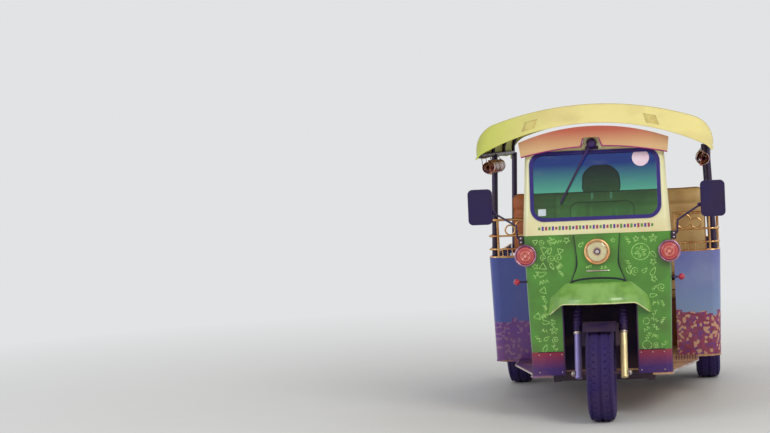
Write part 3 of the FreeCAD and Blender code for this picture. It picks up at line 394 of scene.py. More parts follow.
def make_canopy_cloth():
    """Coated cloth: a fine weave, soft stains and a greener painted shade on the vehicle's right."""
    material, tree, shader = new_material("canopy_cloth_painted_shade", [("Sheen Weight", 0.15)])
    # Greener towards the vehicle's right: painted shade.
    toned_with_painted_shade = passing(tree, 0, -0.66, -0.2, (200, 208, 88), (246, 232, 152))
    stains = spread(tree, noise(tree, object_place(tree), 3.5, 5.0), 0.5, 0.78, 0.0, 0.5)
    colour = mix(tree, stains, toned_with_painted_shade, linear(196, 168, 108))
    wear(tree, shader, colour, colour, 0.6, 0.3, 5.0, linear(170, 150, 110))
    cut = node(tree, "UVMap", uv_map="cloth").outputs[0]
    weave = use(tree, crossed_bars, {"Vector": cut, "Scale": 180.0, "Sharpness": 1.0})
    bump(tree, shader, weave.outputs["Height"], 0.4, 0.0005)
    return material


def make_clear_roll():
    """Rolled see-through sheet: cloudy, with warm tones; its colour follows the folds as painted highlights
    on the creases and painted violet shade between them.
    """
    material, tree, shader = new_material("clear_roll_painted_shading", [
        ("Roughness", 0.34), ("Transmission Weight", 0.12), ("Coat Weight", 0.2)])
    drawn_out = node(tree, "Mapping", [("Vector", object_place(tree)), ("Scale", (8.0, 3.0, 26.0))])
    folds = noise(tree, drawn_out.outputs[0], 1.6, 4.0)
    # Colour keyed to the fold height: painted highlights on the creases, painted violet shade in the hollows.
    put(tree, shader.inputs["Base Color"], steps(tree, folds, [
        (0.32, (112, 44, 132)), (0.45, (206, 104, 74)), (0.56, (226, 160, 104)), (0.68, (214, 150, 186))]))
    bump(tree, shader, folds, 0.4, 0.003)
    return material


def make_tread_rubber():
    """Tyre rubber with a dusty contact band and scuffed walls."""
    material, tree, shader = new_material("tread_rubber")
    worn = wear(tree, shader, linear(30, 2, 84), linear(20, 0, 62), 0.68, 0.4, 9.0, linear(96, 70, 116))
    bump(tree, shader, worn["Height"], 0.4, 0.0006)
    return material


def make_panel_print():
    """A printed film: a calm sky above a jumble of small blocks with an uneven top edge; on the side panel at
    the vehicle's right, painted shade darkens both.
    """
    material, tree, shader = new_material("panel_print", [("Coat Weight", 0.5)])
    x, y, z = (object_place(tree, axis) for axis in range(3))
    across = maths(tree, "ADD", x, maths(tree, "MULTIPLY", y, 0.9))
    flat = node(tree, "CombineXYZ", [(0, across), (1, z)]).outputs[0]
    sky = passing(tree, 2, 0.52, 0.9, (126, 150, 190), (104, 112, 184))
    clouds = spread(tree, noise(tree, flat, 3.0, 3.0), 0.5, 0.75, 0.0, 0.5)
    sky = mix(tree, clouds, sky, linear(168, 178, 206))
    column = maths(tree, "FLOOR", maths(tree, "MULTIPLY", across, 26.0))
    uneven = node(tree, "TexWhiteNoise", [("W", column)], noise_dimensions="1D").outputs[0]
    built = maths(tree, "LESS_THAN", z, maths(tree, "MULTIPLY_ADD", uneven, 0.05, 0.5))
    blocks = node(tree, "TexVoronoi", [("Vector", flat), ("Scale", 62.0)], distance="CHEBYCHEV",
                  voronoi_dimensions="2D")
    tone = node(tree, "SeparateColor", [(0, blocks.outputs["Color"])]).outputs[0]
    block_colour = steps(tree, tone, [(0.0, (132, 22, 74)), (0.3, (206, 156, 122)), (0.55, (150, 40, 84)),
                                      (0.8, (112, 30, 122))], "CONSTANT")
    # Painted shade: the side panel at the vehicle's right is darker and bluer.
    painted_shade_on_right_panel = maths(tree, "MULTIPLY", maths(tree, "LESS_THAN", x, 0.0),
                        maths(tree, "LESS_THAN", y, SIDE_PANEL_END))
    sky = mix(tree, painted_shade_on_right_panel, sky, linear(52, 72, 160))
    blocks_in_painted_shade = mix(tree, 0.72, block_colour, linear(84, 22, 146))
    block_colour = mix(tree, painted_shade_on_right_panel, block_colour, blocks_in_painted_shade)
    printed = mix(tree, built, sky, block_colour)
    worn = wear(tree, shader, printed, printed, 0.25, 0.35, 4.0)
    bump(tree, shader, worn["Height"], 0.2, 0.0002)
    return material


def make_banded_paint(name, low_colour, high_colour, low_z, high_z, roughness):
    """Paint that passes from one colour to another with height; the change is painted shade."""
    material, tree, shader = new_material(name)
    toned_with_painted_shade = passing(tree, 2, low_z, high_z, low_colour, high_colour)
    worn = wear(tree, shader, toned_with_painted_shade, toned_with_painted_shade, roughness, 0.3, 6.0)
    bump(tree, shader, worn["Height"], 0.3, 0.0002)
    return material


def make_tread_plate():
    """Worn metal plate with small raised crossed bars, violet in painted shade towards the vehicle's right.
    """
    material, tree, shader = new_material("tread_plate_painted_shade", [("Metallic", 0.4)])
    # Violet at the vehicle's right, tan at its left: painted shade.
    main_with_painted_shade = passing(tree, 0, -0.45, 0.0, (112, 74, 150), (206, 162, 120))
    wear(tree, shader, main_with_painted_shade, linear(150, 96, 96), 0.42, 0.5, 7.0, linear(170, 130, 96))
    slanted = node(tree, "Mapping", [("Vector", object_place(tree)), ("Rotation", (0, 0, math.radians(45)))])
    bars = use(tree, crossed_bars, {"Vector": slanted.outputs[0], "Scale": 14.0, "Sharpness": 2.5})
    bump(tree, shader, bars.outputs["Height"], 0.6, 0.0015)
    return material


def make_chalk():
    """Pale drawn lines, broken where they skip over the paint."""
    material, tree, shader = new_material("chalk_line", [("Roughness", 0.8)])
    broken = noise(tree, object_place(tree), 130.0, 3.0)
    put(tree, shader.inputs["Base Color"],
        mix(tree, spread(tree, broken, 0.42, 0.62), linear(178, 222, 132), linear(112, 172, 68)))
    bump(tree, shader, broken, 0.3, 0.0003)
    return material


chrome = make_chrome("bright_chrome", (226, 214, 206), (196, 170, 160), 0.1)
brass = make_chrome("brassy_chrome", (226, 178, 118), (176, 106, 62), 0.16)
cream_chrome = make_chrome("cream_chrome", (244, 200, 140), (214, 140, 96), 0.3)
smoky_chrome = make_chrome("smoky_chrome", (176, 130, 150), (110, 60, 110), 0.18)
mirror_silver = make_chrome("mirror_silver", (214, 218, 226), (196, 202, 214), 0.02)
screen_glass = make_clear_glass("screen_glass", (112, 222, 160), (24, 54, 128))
lamp_glass = make_clear_glass("lamp_glass", (252, 250, 240), (252, 250, 240))
red_lens = make_lens("red_lens", (196, 60, 50), (150, 20, 44))
ball_lens = make_lens("ball_lens", (182, 24, 62), (140, 10, 48))
tan_vinyl_painted_shade = make_tan_vinyl()
slider_paint_painted_shading = make_slider_paint()
canopy_cloth_painted_shade = make_canopy_cloth()
clear_roll_painted_shading = make_clear_roll()
tread_rubber = make_tread_rubber()
panel_print = make_panel_print()
# Darker violet towards its foot: painted shade low down.
valance_paint = make_banded_paint("valance_paint", (54, 10, 104), (140, 22, 60), 0.30, 0.39, 0.45)
# Redder towards its top: painted shadow cast by the canopy's front edge.
visor_paint_painted_shadow = make_banded_paint("visor_paint_painted_shadow", (240, 198, 144), (206, 104, 82), 1.59, 1.70, 0.35)
tread_plate_painted_shade = make_tread_plate()
chalk_line = make_chalk()


def distance_from_axis(tree, centre_x, centre_z, radius):
    """Distance from an axis that runs front to back, on both sides of the vehicle, as a share of a radius."""
    across = maths(tree, "SUBTRACT", maths(tree, "ABSOLUTE", object_place(tree, 0)), centre_x)
    up = maths(tree, "SUBTRACT", object_place(tree, 2), centre_z)
    squared = maths(tree, "ADD", maths(tree, "MULTIPLY", across, across), maths(tree, "MULTIPLY", up, up))
    return maths(tree, "DIVIDE", maths(tree, "SQRT", squared), radius)


def make_rings(name, centre_x, centre_z, radius, stops, roughness, coat):
    """A turned piece whose colour changes with the distance from its axis."""
    material, tree, shader = new_material(name, [("Roughness", roughness), ("Coat Weight", coat)])
    distance = distance_from_axis(tree, centre_x, centre_z, radius)
    blotch = noise(tree, object_place(tree), 60.0, 2.0)
    shifted = maths(tree, "ADD", distance, maths(tree, "MULTIPLY_ADD", blotch, 0.12, -0.06))
    put(tree, shader.inputs["Base Color"], steps(tree, shifted, stops))
    bump(tree, shader, blotch, 0.1, 0.0005)
    return material


# Dark middle round the bulb and a bright cream ring: painted reflection in the bowl.
lamp_bowl_painted_reflection = make_rings("lamp_bowl_painted_reflection", 0.0, HEADLAMP_Z, 0.062, [
    (0.0, (40, 10, 90)), (0.27, (76, 44, 110)), (0.36, (226, 186, 150)), (0.48, (255, 250, 214)),
    (0.82, (255, 248, 206)), (0.97, (222, 150, 98))], 0.4, 0.2)
# Pale middle and lighter rings: painted highlights on the lens's moulded rings.
ringed_lens_painted_highlights = make_rings("ringed_lens_painted_highlights", SIDE_LAMP_X, SIDE_LAMP_Z, 0.054, [
    (0.0, (236, 170, 140)), (0.16, (206, 110, 84)), (0.30, (170, 40, 60)), (0.48, (216, 118, 92)),
    (0.66, (176, 44, 62)), (0.84, (204, 90, 84)), (0.98, (136, 16, 50))], 0.15, 0.6)


def dress(material, *names):
    """Give CAD nodes a finish."""
    for name in names:
        slots = nodes[name].data.materials
        slots.clear()
        slots.append(material)


dress(finishes["green_paint"], "front_panel", "nose_panel")
dress(finishes["brow_paint_painted_light"], "front_brow")
dress(finishes["cream_paint"], "windscreen_frame")
dress(visor_paint_painted_shadow, "roof_peak")
dress(valance_paint, "front_valance")
dress(panel_print, "side_panel_left", "side_panel_right", "rear_panel")
dress(finishes["well_paint"], "wheel_well", "front_mudguard")
dress(finishes["housing_paint"], "rear_wheel_housings")
dress(finishes["dark_paint"], "chassis_frame", "canopy_frame", "plate_bracket", "driver_seat_base",
      "rear_bumper", "mirror_arms", "indicator_stalks", "steering_fork", "wiper")
dress(finishes["inner_board"], "bench_base")
dress(finishes["axle_paint"], "rear_axle", "front_axle")
dress(finishes["spring_steel"], "leaf_springs")
dress(finishes["cast_metal"], "drive_motor")
dress(finishes["battery_case"], "battery_block")
dress(tread_plate_painted_shade, "floor_platform")
dress(cream_chrome, "headlamp_shell")
dress(smoky_chrome, "side_lamp_shells")
dress(chrome, "handlebar")
dress(slider_paint_painted_shading, "fork_sliders")
dress(brass, "corner_rails")
dress(red_lens, "tail_lamp_lenses")
dress(ball_lens, "indicator_bulbs")
dress(finishes["gasket_rubber"], "windscreen_gasket")
dress(finishes["silver_paint"], "front_wheel_rim", "rear_left_wheel_rim", "rear_right_wheel_rim")
dress(finishes["mirror_plastic"], "mirror_heads")
dress(finishes["lamp_plastic"], "dash_console", "tail_lamp_shells")
dress(mirror_silver, "mirror_glasses")
dress(screen_glass, "windscreen_glass")


# Surfaces

def surface(points, wrap_along=False, wrap_across=False):
    """A grid of points (along, across, 3) as vertices and quads; it may close on itself either way."""
    rows, columns = points.shape[:2]
    i, j = np.meshgrid(np.arange(rows if wrap_along else rows - 1),
                       np.arange(columns if wrap_across else columns - 1), indexing="ij")
    below, beside = (i + 1) % rows, (j + 1) % columns
    corners = [i * columns + j, i * columns + beside, below * columns + beside, below * columns + j]
    quads = np.stack(corners, -1)
    return points.reshape(-1, 3), quads.reshape(-1, 4)


def joined(shapes):
    """Several meshes as one."""
    starts = np.cumsum([0] + [len(vertices) for vertices, faces in shapes[:-1]])
    return (np.concatenate([vertices for vertices, faces in shapes]),
            np.concatenate([faces + start for (vertices, faces), start in zip(shapes, starts)]))


def mirrored(shape):
    """The same mesh on the other side of the centre plane, its faces turned round to match."""
    vertices, faces = shape
    return vertices * (-1, 1, 1), faces[:, ::-1]


def both_sides(shape):
    return joined([shape, mirrored(shape)])


def unit(vectors):
    return vectors / np.maximum(np.linalg.norm(vectors, axis=-1, keepdims=True), 1e-9)


def through(points, count):
    """An even curve through a few points: each span is the cubic set by its four nearest points."""
    held = np.asarray(points, float)
    held = np.concatenate([[2 * held[0] - held[1]], held, [2 * held[-1] - held[-2]]])
    t = np.linspace(0, 1, count, endpoint=False)[None, :, None]
    a, b, c, d = (held[i:len(held) - 3 + i, None] for i in range(4))
    squared, cubed = 2 * a - 5 * b + 4 * c - d, 3 * b - a - 3 * c + d
    spans = 0.5 * (2 * b + (c - a) * t + squared * t ** 2 + cubed * t ** 3)
    return np.concatenate([spans.reshape(-1, held.shape[1]), held[-2:-1]])


def carried(section, path, closed=False, flat=None):
    """A flat section (n, 2) carried square along a path (m, 3), with its ends drawn in to a point.

    The section's second direction stays near the normal of the plane that the path lies in, or near flat.
    """
    path = np.asarray(path, float)
    ahead = unit(np.roll(path, -1, 0) - np.roll(path, 1, 0) if closed else np.gradient(path, axis=0))
    steady = np.array(flat, float) if flat else np.linalg.svd(path - path.mean(0), full_matrices=False)[2][-1]
    across = unit(np.cross(ahead, steady))
    up = unit(np.cross(across, ahead))
    section = np.asarray(section, float)
    points = path[:, None] + across[:, None] * section[..., :1] + up[:, None] * section[..., 1:]
    if not closed:
        start, end = (np.repeat(path[k][None, None], points.shape[1], 1) for k in (0, -1))
        points = np.concatenate([start, points, end])
    return surface(points, wrap_along=closed, wrap_across=True)


def tube(path, radius, sides, closed=False, flat=None):
    """A round section carried along a path; the radius may change from point to point."""
    turn = np.linspace(0, 2 * np.pi, sides, endpoint=False)
    circle = np.stack([np.cos(turn), np.sin(turn)], -1)
    return carried(np.reshape(radius, (-1, 1, 1)) * circle, path, closed, flat)


def turned(profile, centre, axis, sides):
    """A profile of (radius, distance along the axis) points turned about the axis through a centre."""
    profile = np.asarray(profile, float)
    axis = np.asarray(axis, float) / np.linalg.norm(axis)
    side = np.cross(axis, (0.0, 0.0, 1.0) if abs(axis[2]) < 0.9 else (1.0, 0.0, 0.0))
    side /= np.linalg.norm(side)
    other = np.cross(axis, side)
    turn = np.linspace(0, 2 * np.pi, sides, endpoint=False)[None, :, None]
    ring = np.cos(turn) * side + np.sin(turn) * other
    points = np.asarray(centre, float) + profile[:, None, :1] * ring + profile[:, None, 1:] * axis
    return surface(points, wrap_across=True)


def make_mesh(name, shape, closed=True, uv=None, sharp=40):
    """A mesh from vertices and quads; a closed one has its doubles merged and its faces turned outwards."""
    vertices, faces = shape
    mesh = bpy.data.meshes.new(name)
    mesh.from_pydata(vertices.tolist(), [], faces.tolist())
    if uv is not None:
        layer = mesh.uv_layers.new(name="cloth")
        layer.data.foreach_set("uv", uv[faces.ravel()].ravel())
    if closed:
        tool = bmesh.new()
        tool.from_mesh(mesh)
        bmesh.ops.remove_doubles(tool, verts=tool.verts, dist=1e-6)
        bmesh.ops.recalc_face_normals(tool, faces=tool.faces)
        tool.to_mesh(mesh)
        tool.free()
    mesh.polygons.foreach_set("use_smooth", np.ones(len(mesh.polygons), bool))
    mesh.set_sharp_from_angle(angle=math.radians(sharp))
    return mesh


def place_piece(name, mesh, body, material):
    """Put a finished mesh in the scene, riding on its body."""
    piece = bpy.data.objects.new(name, mesh)
    bpy.context.scene.collection.objects.link(piece)
    mesh.materials.append(material)
    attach(piece, body)
    return piece


def add(name, shape, body, slot, material, **options):
    return place_piece(name, make_mesh(name, shape, **options), body, material)


def thicken(piece, thickness, offset=-1.0):
    """Give a sheet its thickness, to one side of its surface."""
    shell = piece.modifiers.new("thickness", "SOLIDIFY")
    shell.thickness = thickness
    shell.offset = offset


# Canopy

CANOPY_THICKNESS = 0.0025
HOOP_YS = (-1.048, -0.172, 0.600, 1.377)
# Place along the vehicle, and a curve across it: crown height, crown radius, shoulder radius, half width,
# end angle, hem
CANOPY_CURVES = (
    (-1.198, (1.745, 1.450, 0.100, 0.700, math.radians(50), 0.015)),
    (-1.068, (1.850, 1.840, 0.160, 0.695, math.radians(90), 0.037)),
    (1.391, (1.850, 1.840, 0.160, 0.695, math.radians(90), 0.037)),
    (1.432, (1.790, 1.840, 0.160, 0.695, math.radians(80), 0.037)),
)


def canopy_line(curve):
    """Points across: half a crown arc, a shoulder arc that meets it, and a straight hem, then mirrored."""
    crown_z, crown_radius, shoulder_radius, half, end_angle, hem = curve
    across = half - shoulder_radius
    rise = math.sqrt((crown_radius - shoulder_radius) ** 2 - across ** 2)
    meet = math.atan2(across, rise)
    top = np.linspace(0, meet, 26)
    shoulder = np.linspace(meet, end_angle, 14)[1:]
    x = np.concatenate([crown_radius * np.sin(top), across + shoulder_radius * np.sin(shoulder)])
    z = np.concatenate([crown_z - crown_radius + crown_radius * np.cos(top),
                        crown_z - crown_radius + rise + shoulder_radius * np.cos(shoulder)])
    fall = np.linspace(0, hem, 3)[1:]
    x = np.concatenate([x, x[-1] + fall * math.cos(end_angle)])
    z = np.concatenate([z, z[-1] - fall * math.sin(end_angle)])
    return np.concatenate([np.stack([-x[:0:-1], z[:0:-1]], -1), np.stack([x, z], -1)])


def canopy_points():
    """A smooth run between four curves across, then a sag between the hoops and slight puckers."""
    stations = np.array([place for place, curve in CANOPY_CURVES])
    curves = np.stack([canopy_line(curve) for place, curve in CANOPY_CURVES])
    y = np.concatenate([np.linspace(stations[0], stations[1], 14)[:-1],
                        np.linspace(stations[1], stations[2], 90)[:-1],
                        np.linspace(stations[2], stations[3], 6)])
    station = np.clip(np.searchsorted(stations, y, side="right") - 1, 0, 2)
    share = ((y - stations[station]) / (stations[station + 1] - stations[station]))[:, None, None]
    flat = curves[station] * (1 - share) + curves[station + 1] * share
    points = np.stack([flat[..., 0], np.repeat(y[:, None], flat.shape[1], 1), flat[..., 1]], -1)
    held = np.array([stations[0], *HOOP_YS, stations[-1]])
    span = np.clip(np.searchsorted(held, y, side="right") - 1, 0, len(held) - 2)
    along = (y - held[span]) / (held[span + 1] - held[span])
    across = np.linspace(-1, 1, flat.shape[1])[None, :]
    sag = 0.011 * np.sin(np.pi * along)[:, None] ** 2 * (held[span + 1] - held[span])[:, None]
    pucker = 0.0012 * np.sin(across * 61 + y[:, None] * 9) * np.abs(across) ** 3
    points[..., 2] -= sag * (1 - 0.4 * across ** 2) + np.abs(pucker)
    return points


def lengths(points, axis):
    """Running length of the lines of a grid, along one way of it."""
    steps_taken = np.linalg.norm(np.diff(points, axis=axis), axis=-1)
    pad = [(0, 0), (0, 0)]
    pad[axis] = (1, 0)
    return np.pad(np.cumsum(steps_taken, axis=axis), pad)


def make_canopy():
    points = canopy_points()
    across, along = lengths(points, 1), lengths(points, 0)
    uv = np.stack([across - across[:, -1:] / 2, along], -1).reshape(-1, 2)
    vertices, faces = surface(points)
    mesh = make_mesh("canopy_sheet", (vertices, faces[:, ::-1]), closed=False, uv=uv, sharp=60)
    sheet = place_piece("canopy_sheet", mesh, "chassis", canopy_cloth_painted_shade)
    thicken(sheet, CANOPY_THICKNESS, 1.0 if mesh.polygons[0].normal.z < 0 else -1.0)
    border = np.concatenate([points[0], points[1:, -1], points[-1, -2::-1], points[-2:0:-1, 0]])
    hem = add("canopy_hem", tube(border - (0, 0, 0.002), 0.0042, 8, closed=True), "chassis", "canopy_fabric",
              canopy_cloth_painted_shade)
    layer = hem.data.uv_layers.new(name="cloth")
    layer.data.foreach_set("uv", np.zeros(2 * len(hem.data.loops)))
    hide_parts("canopy")


make_canopy()


# Tyres

TREAD_DEPTH = 0.0065
TREAD_CUTS, WALL_BARS = 42, 63


def tyre_shape(centre):
    """A section from bead to bead, turned about the axle; ribs and cross cuts lower its tread."""
    half = TYRE_WIDTH / 2
    bead = RIM_RADIUS + 0.001
    outer = through([(bead, -0.72 * half), (bead + 0.02, -0.93 * half), (bead + 0.055, -0.985 * half),
                     (TYRE_RADIUS - 0.04, -0.96 * half), (TYRE_RADIUS - 0.014, -0.86 * half),
                     (TYRE_RADIUS - 0.003, -0.70 * half), (TYRE_RADIUS, -0.35 * half), (TYRE_RADIUS, 0)], 6)
    outer = np.concatenate([outer, outer[-2::-1] * (1, -1)])
    turn = np.linspace(0, 2 * np.pi, 252, endpoint=False)
    radius = np.repeat(outer[:, :1], len(turn), 1)
    across = np.repeat(outer[:, 1:], len(turn), 1)
    on_tread = np.clip((radius - (TYRE_RADIUS - 0.016)) / 0.010, 0, 1)
    ribs = np.clip((np.cos(across / half * np.pi * 3.2) - 0.62) * 9, 0, 1) * (np.abs(across) < 0.80 * half)
    slanted = turn[None] * TREAD_CUTS + np.sign(across) * across / half * 5.0
    cuts = np.clip((np.cos(slanted) - 0.72) * 7, 0, 1) * (np.abs(across) > 0.34 * half)
    wall_bars = np.clip(1 - np.abs(radius - (TYRE_RADIUS - 0.045)) / 0.006, 0, 1) * 0.0012
    radius = radius - on_tread * (TREAD_DEPTH * np.maximum(ribs, cuts))
    across = across + np.sign(across) * wall_bars * (np.cos(turn[None] * WALL_BARS) > 0)
    points = np.stack([centre[0] + across, centre[1] + radius * np.cos(turn),
                       centre[2] + radius * np.sin(turn)], -1)
    inner = np.stack([np.repeat(centre[0] + outer[[-1, 0], 1][:, None], len(turn), 1),
                      centre[1] + np.array([[bead], [bead]]) * np.cos(turn),
                      centre[2] + np.array([[bead], [bead]]) * np.sin(turn)], -1)
    return surface(np.concatenate([points, inner]), wrap_across=True)


# Wheels: body, centre, side that the hub faces
WHEELS = (
    ("front_wheel", (0.0, FRONT_AXLE_Y, TYRE_RADIUS), 0),
    ("rear_left_wheel", (REAR_WHEEL_X, REAR_AXLE_Y, TYRE_RADIUS), 1),
    ("rear_right_wheel", (-REAR_WHEEL_X, REAR_AXLE_Y, TYRE_RADIUS), -1),
)


for wheel, centre, _ in WHEELS:
    tread = add(wheel + "_tread", tyre_shape(centre), wheel, "tyre", tread_rubber, sharp=28)
    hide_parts(wheel + "_tyre")


# Seats

def pad_block(low, high, edge, top_edge):
    """A rounded box: each point of a small ball, moved out to the corner that it faces."""
    low, high = np.asarray(low, float), np.asarray(high, float)
    around = (np.arange(48) + 0.5) / 48 * 2 * np.pi
    upward = np.linspace(-np.pi / 2, np.pi / 2, 26)[:, None]
    facing = np.stack(np.broadcast_arrays(np.cos(upward) * np.cos(around), np.cos(upward) * np.sin(around),
                                          np.sin(upward)), -1)
    radius = np.where(facing[..., 2:] > 0, (top_edge, edge, top_edge), edge)
    points = (low + high) / 2 + np.sign(facing) * ((high - low) / 2 - radius) + radius * facing
    points[0], points[-1] = points[0].mean(0), points[-1].mean(0)
    return surface(points, wrap_across=True)


def coordinates(mesh):
    values = np.empty(3 * len(mesh.vertices), np.float32)
    mesh.vertices.foreach_get("co", values)
    return values.reshape(-1, 3).astype(float)


# Node, lowest level where not the node's own, edge radius, upper edge radius, voxel, furthest swelling
SEAT_PADS = (
    ("driver_cushion", None, 0.030, 0.030, 0.007, 0.012),
    ("driver_backrest", None, 0.030, 0.060, 0.008, 0.012),
    ("driver_headrest", 1.300, 0.026, 0.095, 0.006, 0.010),
    ("bench_cushion", None, 0.030, 0.030, 0.011, 0.014),
    ("bench_backrest", None, 0.032, 0.055, 0.012, 0.014),
)
PAD_START_INSET = 0.007
PRESSURE, CLOTH_FRAMES = 4.0, 20
CHANNEL_WIDTH = CHANNEL_DEPTH = 0.011
PIPING_RADIUS, PIPING_INSET = 0.0048, 0.020
# Node: the axis through the pad, and its sewn channels as (axis, place) pairs
PAD_SEAMS = {
    "driver_cushion": (2, [(0, -0.085), (0, 0.085)]),
    "driver_backrest": (1, [(0, -0.080), (0, 0.080)]),
    "driver_headrest": (1, []),
    "bench_cushion": (2, [(0, -0.168), (0, 0.168)]),
    "bench_backrest": (1, [(0, -0.350), (0, 0.0), (0, 0.350), (2, 1.180)]),
}


def pad_limits(name, low_z):
    low, high = (np.array(corner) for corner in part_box(name))
    if low_z is not None:
        low[2] = low_z
    return low, high


def swollen_pads():
    """Rounded boxes, remeshed evenly and blown up together by Cloth pressure; each point's move is capped."""
    scene = bpy.context.scene
    pads = {}
    for name, low_z, edge, top_edge, voxel, cap in SEAT_PADS:
        low, high = pad_limits(name, low_z)
        block = pad_block(low + PAD_START_INSET, high - PAD_START_INSET, edge, top_edge)
        pad = bpy.data.objects.new(name + "_work", make_mesh(name + "_pad", block))
        scene.collection.objects.link(pad)
        even = pad.modifiers.new("even", "REMESH")
        even.mode = "VOXEL"
        even.voxel_size = voxel
        seen = pad.evaluated_get(bpy.context.evaluated_depsgraph_get())
        pad.data = bpy.data.meshes.new_from_object(seen)
        pad.modifiers.clear()
        pads[name] = (pad, coordinates(pad.data), cap, low, high)
    for pad in [row[0] for row in pads.values()]:
        cloth = pad.modifiers.new("cloth", "CLOTH")
        cloth.settings.use_pressure = True
        cloth.settings.uniform_pressure_force = PRESSURE
        cloth.settings.effector_weights.gravity = 0.0
        cloth.settings.quality = 4
    for step in range(1, CLOTH_FRAMES + 1):
        scene.frame_set(step)
    depsgraph = bpy.context.evaluated_depsgraph_get()
    finished = {}
    for name, (pad, start, cap, low, high) in pads.items():
        mesh = bpy.data.meshes.new_from_object(pad.evaluated_get(depsgraph))
        moved = coordinates(mesh) - start
        far = np.linalg.norm(moved, axis=1, keepdims=True)
        points = start + moved * np.minimum(1, cap / np.maximum(far, 1e-9))
        finished[name] = (mesh, np.clip(points, low - (0.003, 0.003, 0), high + 0.003), low, high)
        bpy.data.objects.remove(pad)
    scene.frame_set(1)
    return finished


def evenly(path, count):
    """The same closed path with evenly spaced points."""
    loop = np.concatenate([path, path[:1]])
    run = np.concatenate([[0], np.cumsum(np.linalg.norm(np.diff(loop, axis=0), axis=1))])
    wanted = np.linspace(0, run[-1], count, endpoint=False)
    return np.stack([np.interp(wanted, run, loop[:, k]) for k in range(loop.shape[1])], -1)


def edge_loop(low, high, through_axis, level, radius):
    """A rounded rectangle round a pad, at a level along the axis through it."""
    wide, tall = [axis for axis in range(3) if axis != through_axis]
    turn = (np.arange(64) + 0.5) / 64 * 2 * np.pi
    facing = np.stack([np.cos(turn), np.sin(turn)], -1)
    half = (high - low)[[wide, tall]] / 2
    flat = (high + low)[[wide, tall]] / 2 + np.sign(facing) * (half - radius) + radius * facing
    points = np.empty((len(turn), 3))
    points[:, [wide, tall]] = flat
    points[:, through_axis] = level
    return evenly(points, 180)


def nearest_on(mesh, path):
    """Each point of a path, moved to the nearest point of a mesh."""
    tree = BVHTree.FromPolygons([v.co for v in mesh.vertices], [p.vertices for p in mesh.polygons])
    return np.array([tree.find_nearest(point)[0] for point in path])


def make_seats():
    """Swollen pads with sewn channels in the face that is sat on, piping, and the headrest's posts."""
    for name, (mesh, points, low, high) in swollen_pads().items():
        through_axis, channels = PAD_SEAMS[name]
        facing = 1.0 if through_axis == 2 else -1.0
        on_face = (points[:, through_axis] - (low + high)[through_axis] / 2) * facing > 0
        for axis, place in channels:
            near = np.exp(-((points[:, axis] - place) / CHANNEL_WIDTH) ** 2)
            points[:, through_axis] -= facing * CHANNEL_DEPTH * near * on_face
        mesh.vertices.foreach_set("co", points.astype(np.float32).ravel())
        mesh.polygons.foreach_set("use_smooth", np.ones(len(mesh.polygons), bool))
        mesh.update()
        mesh.materials.clear()
        pad = place_piece(name + "_pad", mesh, "chassis", tan_vinyl_painted_shade)
        finer = pad.modifiers.new("finer", "SUBSURF")
        finer.levels = finer.render_levels = 1
        level = (high if facing > 0 else low)[through_axis] - facing * PIPING_INSET
        welt = nearest_on(mesh, edge_loop(low, high, through_axis, level, 0.045))
        add(name + "_piping", tube(welt, PIPING_RADIUS, 8, closed=True), "chassis", "seat_vinyl",
            finishes["piping_vinyl"])
        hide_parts(name)
    post = np.array([(0.060, -0.165, z) for z in np.linspace(1.262, 1.335, 6)])
    posts = [tube(post * (side, 1, 1), 0.006, 16) for side in (-1, 1)]
    add("headrest_posts", joined(posts), "chassis", "chrome", chrome)


make_seats()


# Rolled curtains

CURTAIN_TIES = (-0.88, -0.61, -0.33)
CURTAIN_TURNS = 3.0
CURTAIN_THICKNESS = 0.0012
STRAP_SECTION = 0.001 * np.array([(1.0, -11), (1.0, 11), (-0.6, 11), (-0.6, -11)])


def curtain_points(low, high, centre_x, centre_z):
    """A sheet rolled on itself in a growing circle, with a loose edge that hangs in folds at the front."""
    y = np.linspace(low[1] + 0.004, high[1] - 0.004, 130)[:, None]
    turn = np.linspace(0, 1, 90)[None]
    angle = 2 * np.pi * (0.25 + CURTAIN_TURNS * turn) + 0.10 * np.sin(y * 7)
    radius = 0.012 + 0.030 * turn + 0.0016 * np.sin(y * 23 + 5 * turn) + 0.001 * np.sin(y * 51)
    tie = sum(np.exp(-((y - place) / 0.02) ** 2) for place in CURTAIN_TIES)
    radius = radius * (1 - 0.13 * tie)
    roll = np.stack([centre_x - radius * np.cos(angle), y + 0 * turn, centre_z + radius * np.sin(angle)], -1)
    drop = np.linspace(0, 1, 26)[None, 1:]
    near_front = np.exp(-((y - low[1]) / 0.16) ** 2)
    loose = 0.036 + 0.050 * near_front + 0.009 * np.sin(y * 13) + 0.005 * np.sin(y * 37)
    sway = 0.011 * np.sin(y * 46) * drop + 0.008 * np.sin(y * 97 + 2) * drop ** 2
    start = roll[:, -1:]
    hang = np.stack([start[..., 0] - 0.004 * drop + sway, y + 0 * drop, start[..., 2] - loose * drop], -1)
    points = np.concatenate([roll, hang], 1)
    points[..., 0] = np.clip(points[..., 0], high[0] - 0.088, high[0] - 0.001)
    points[..., 2] = np.maximum(points[..., 2], low[2] + 0.002)
    return points


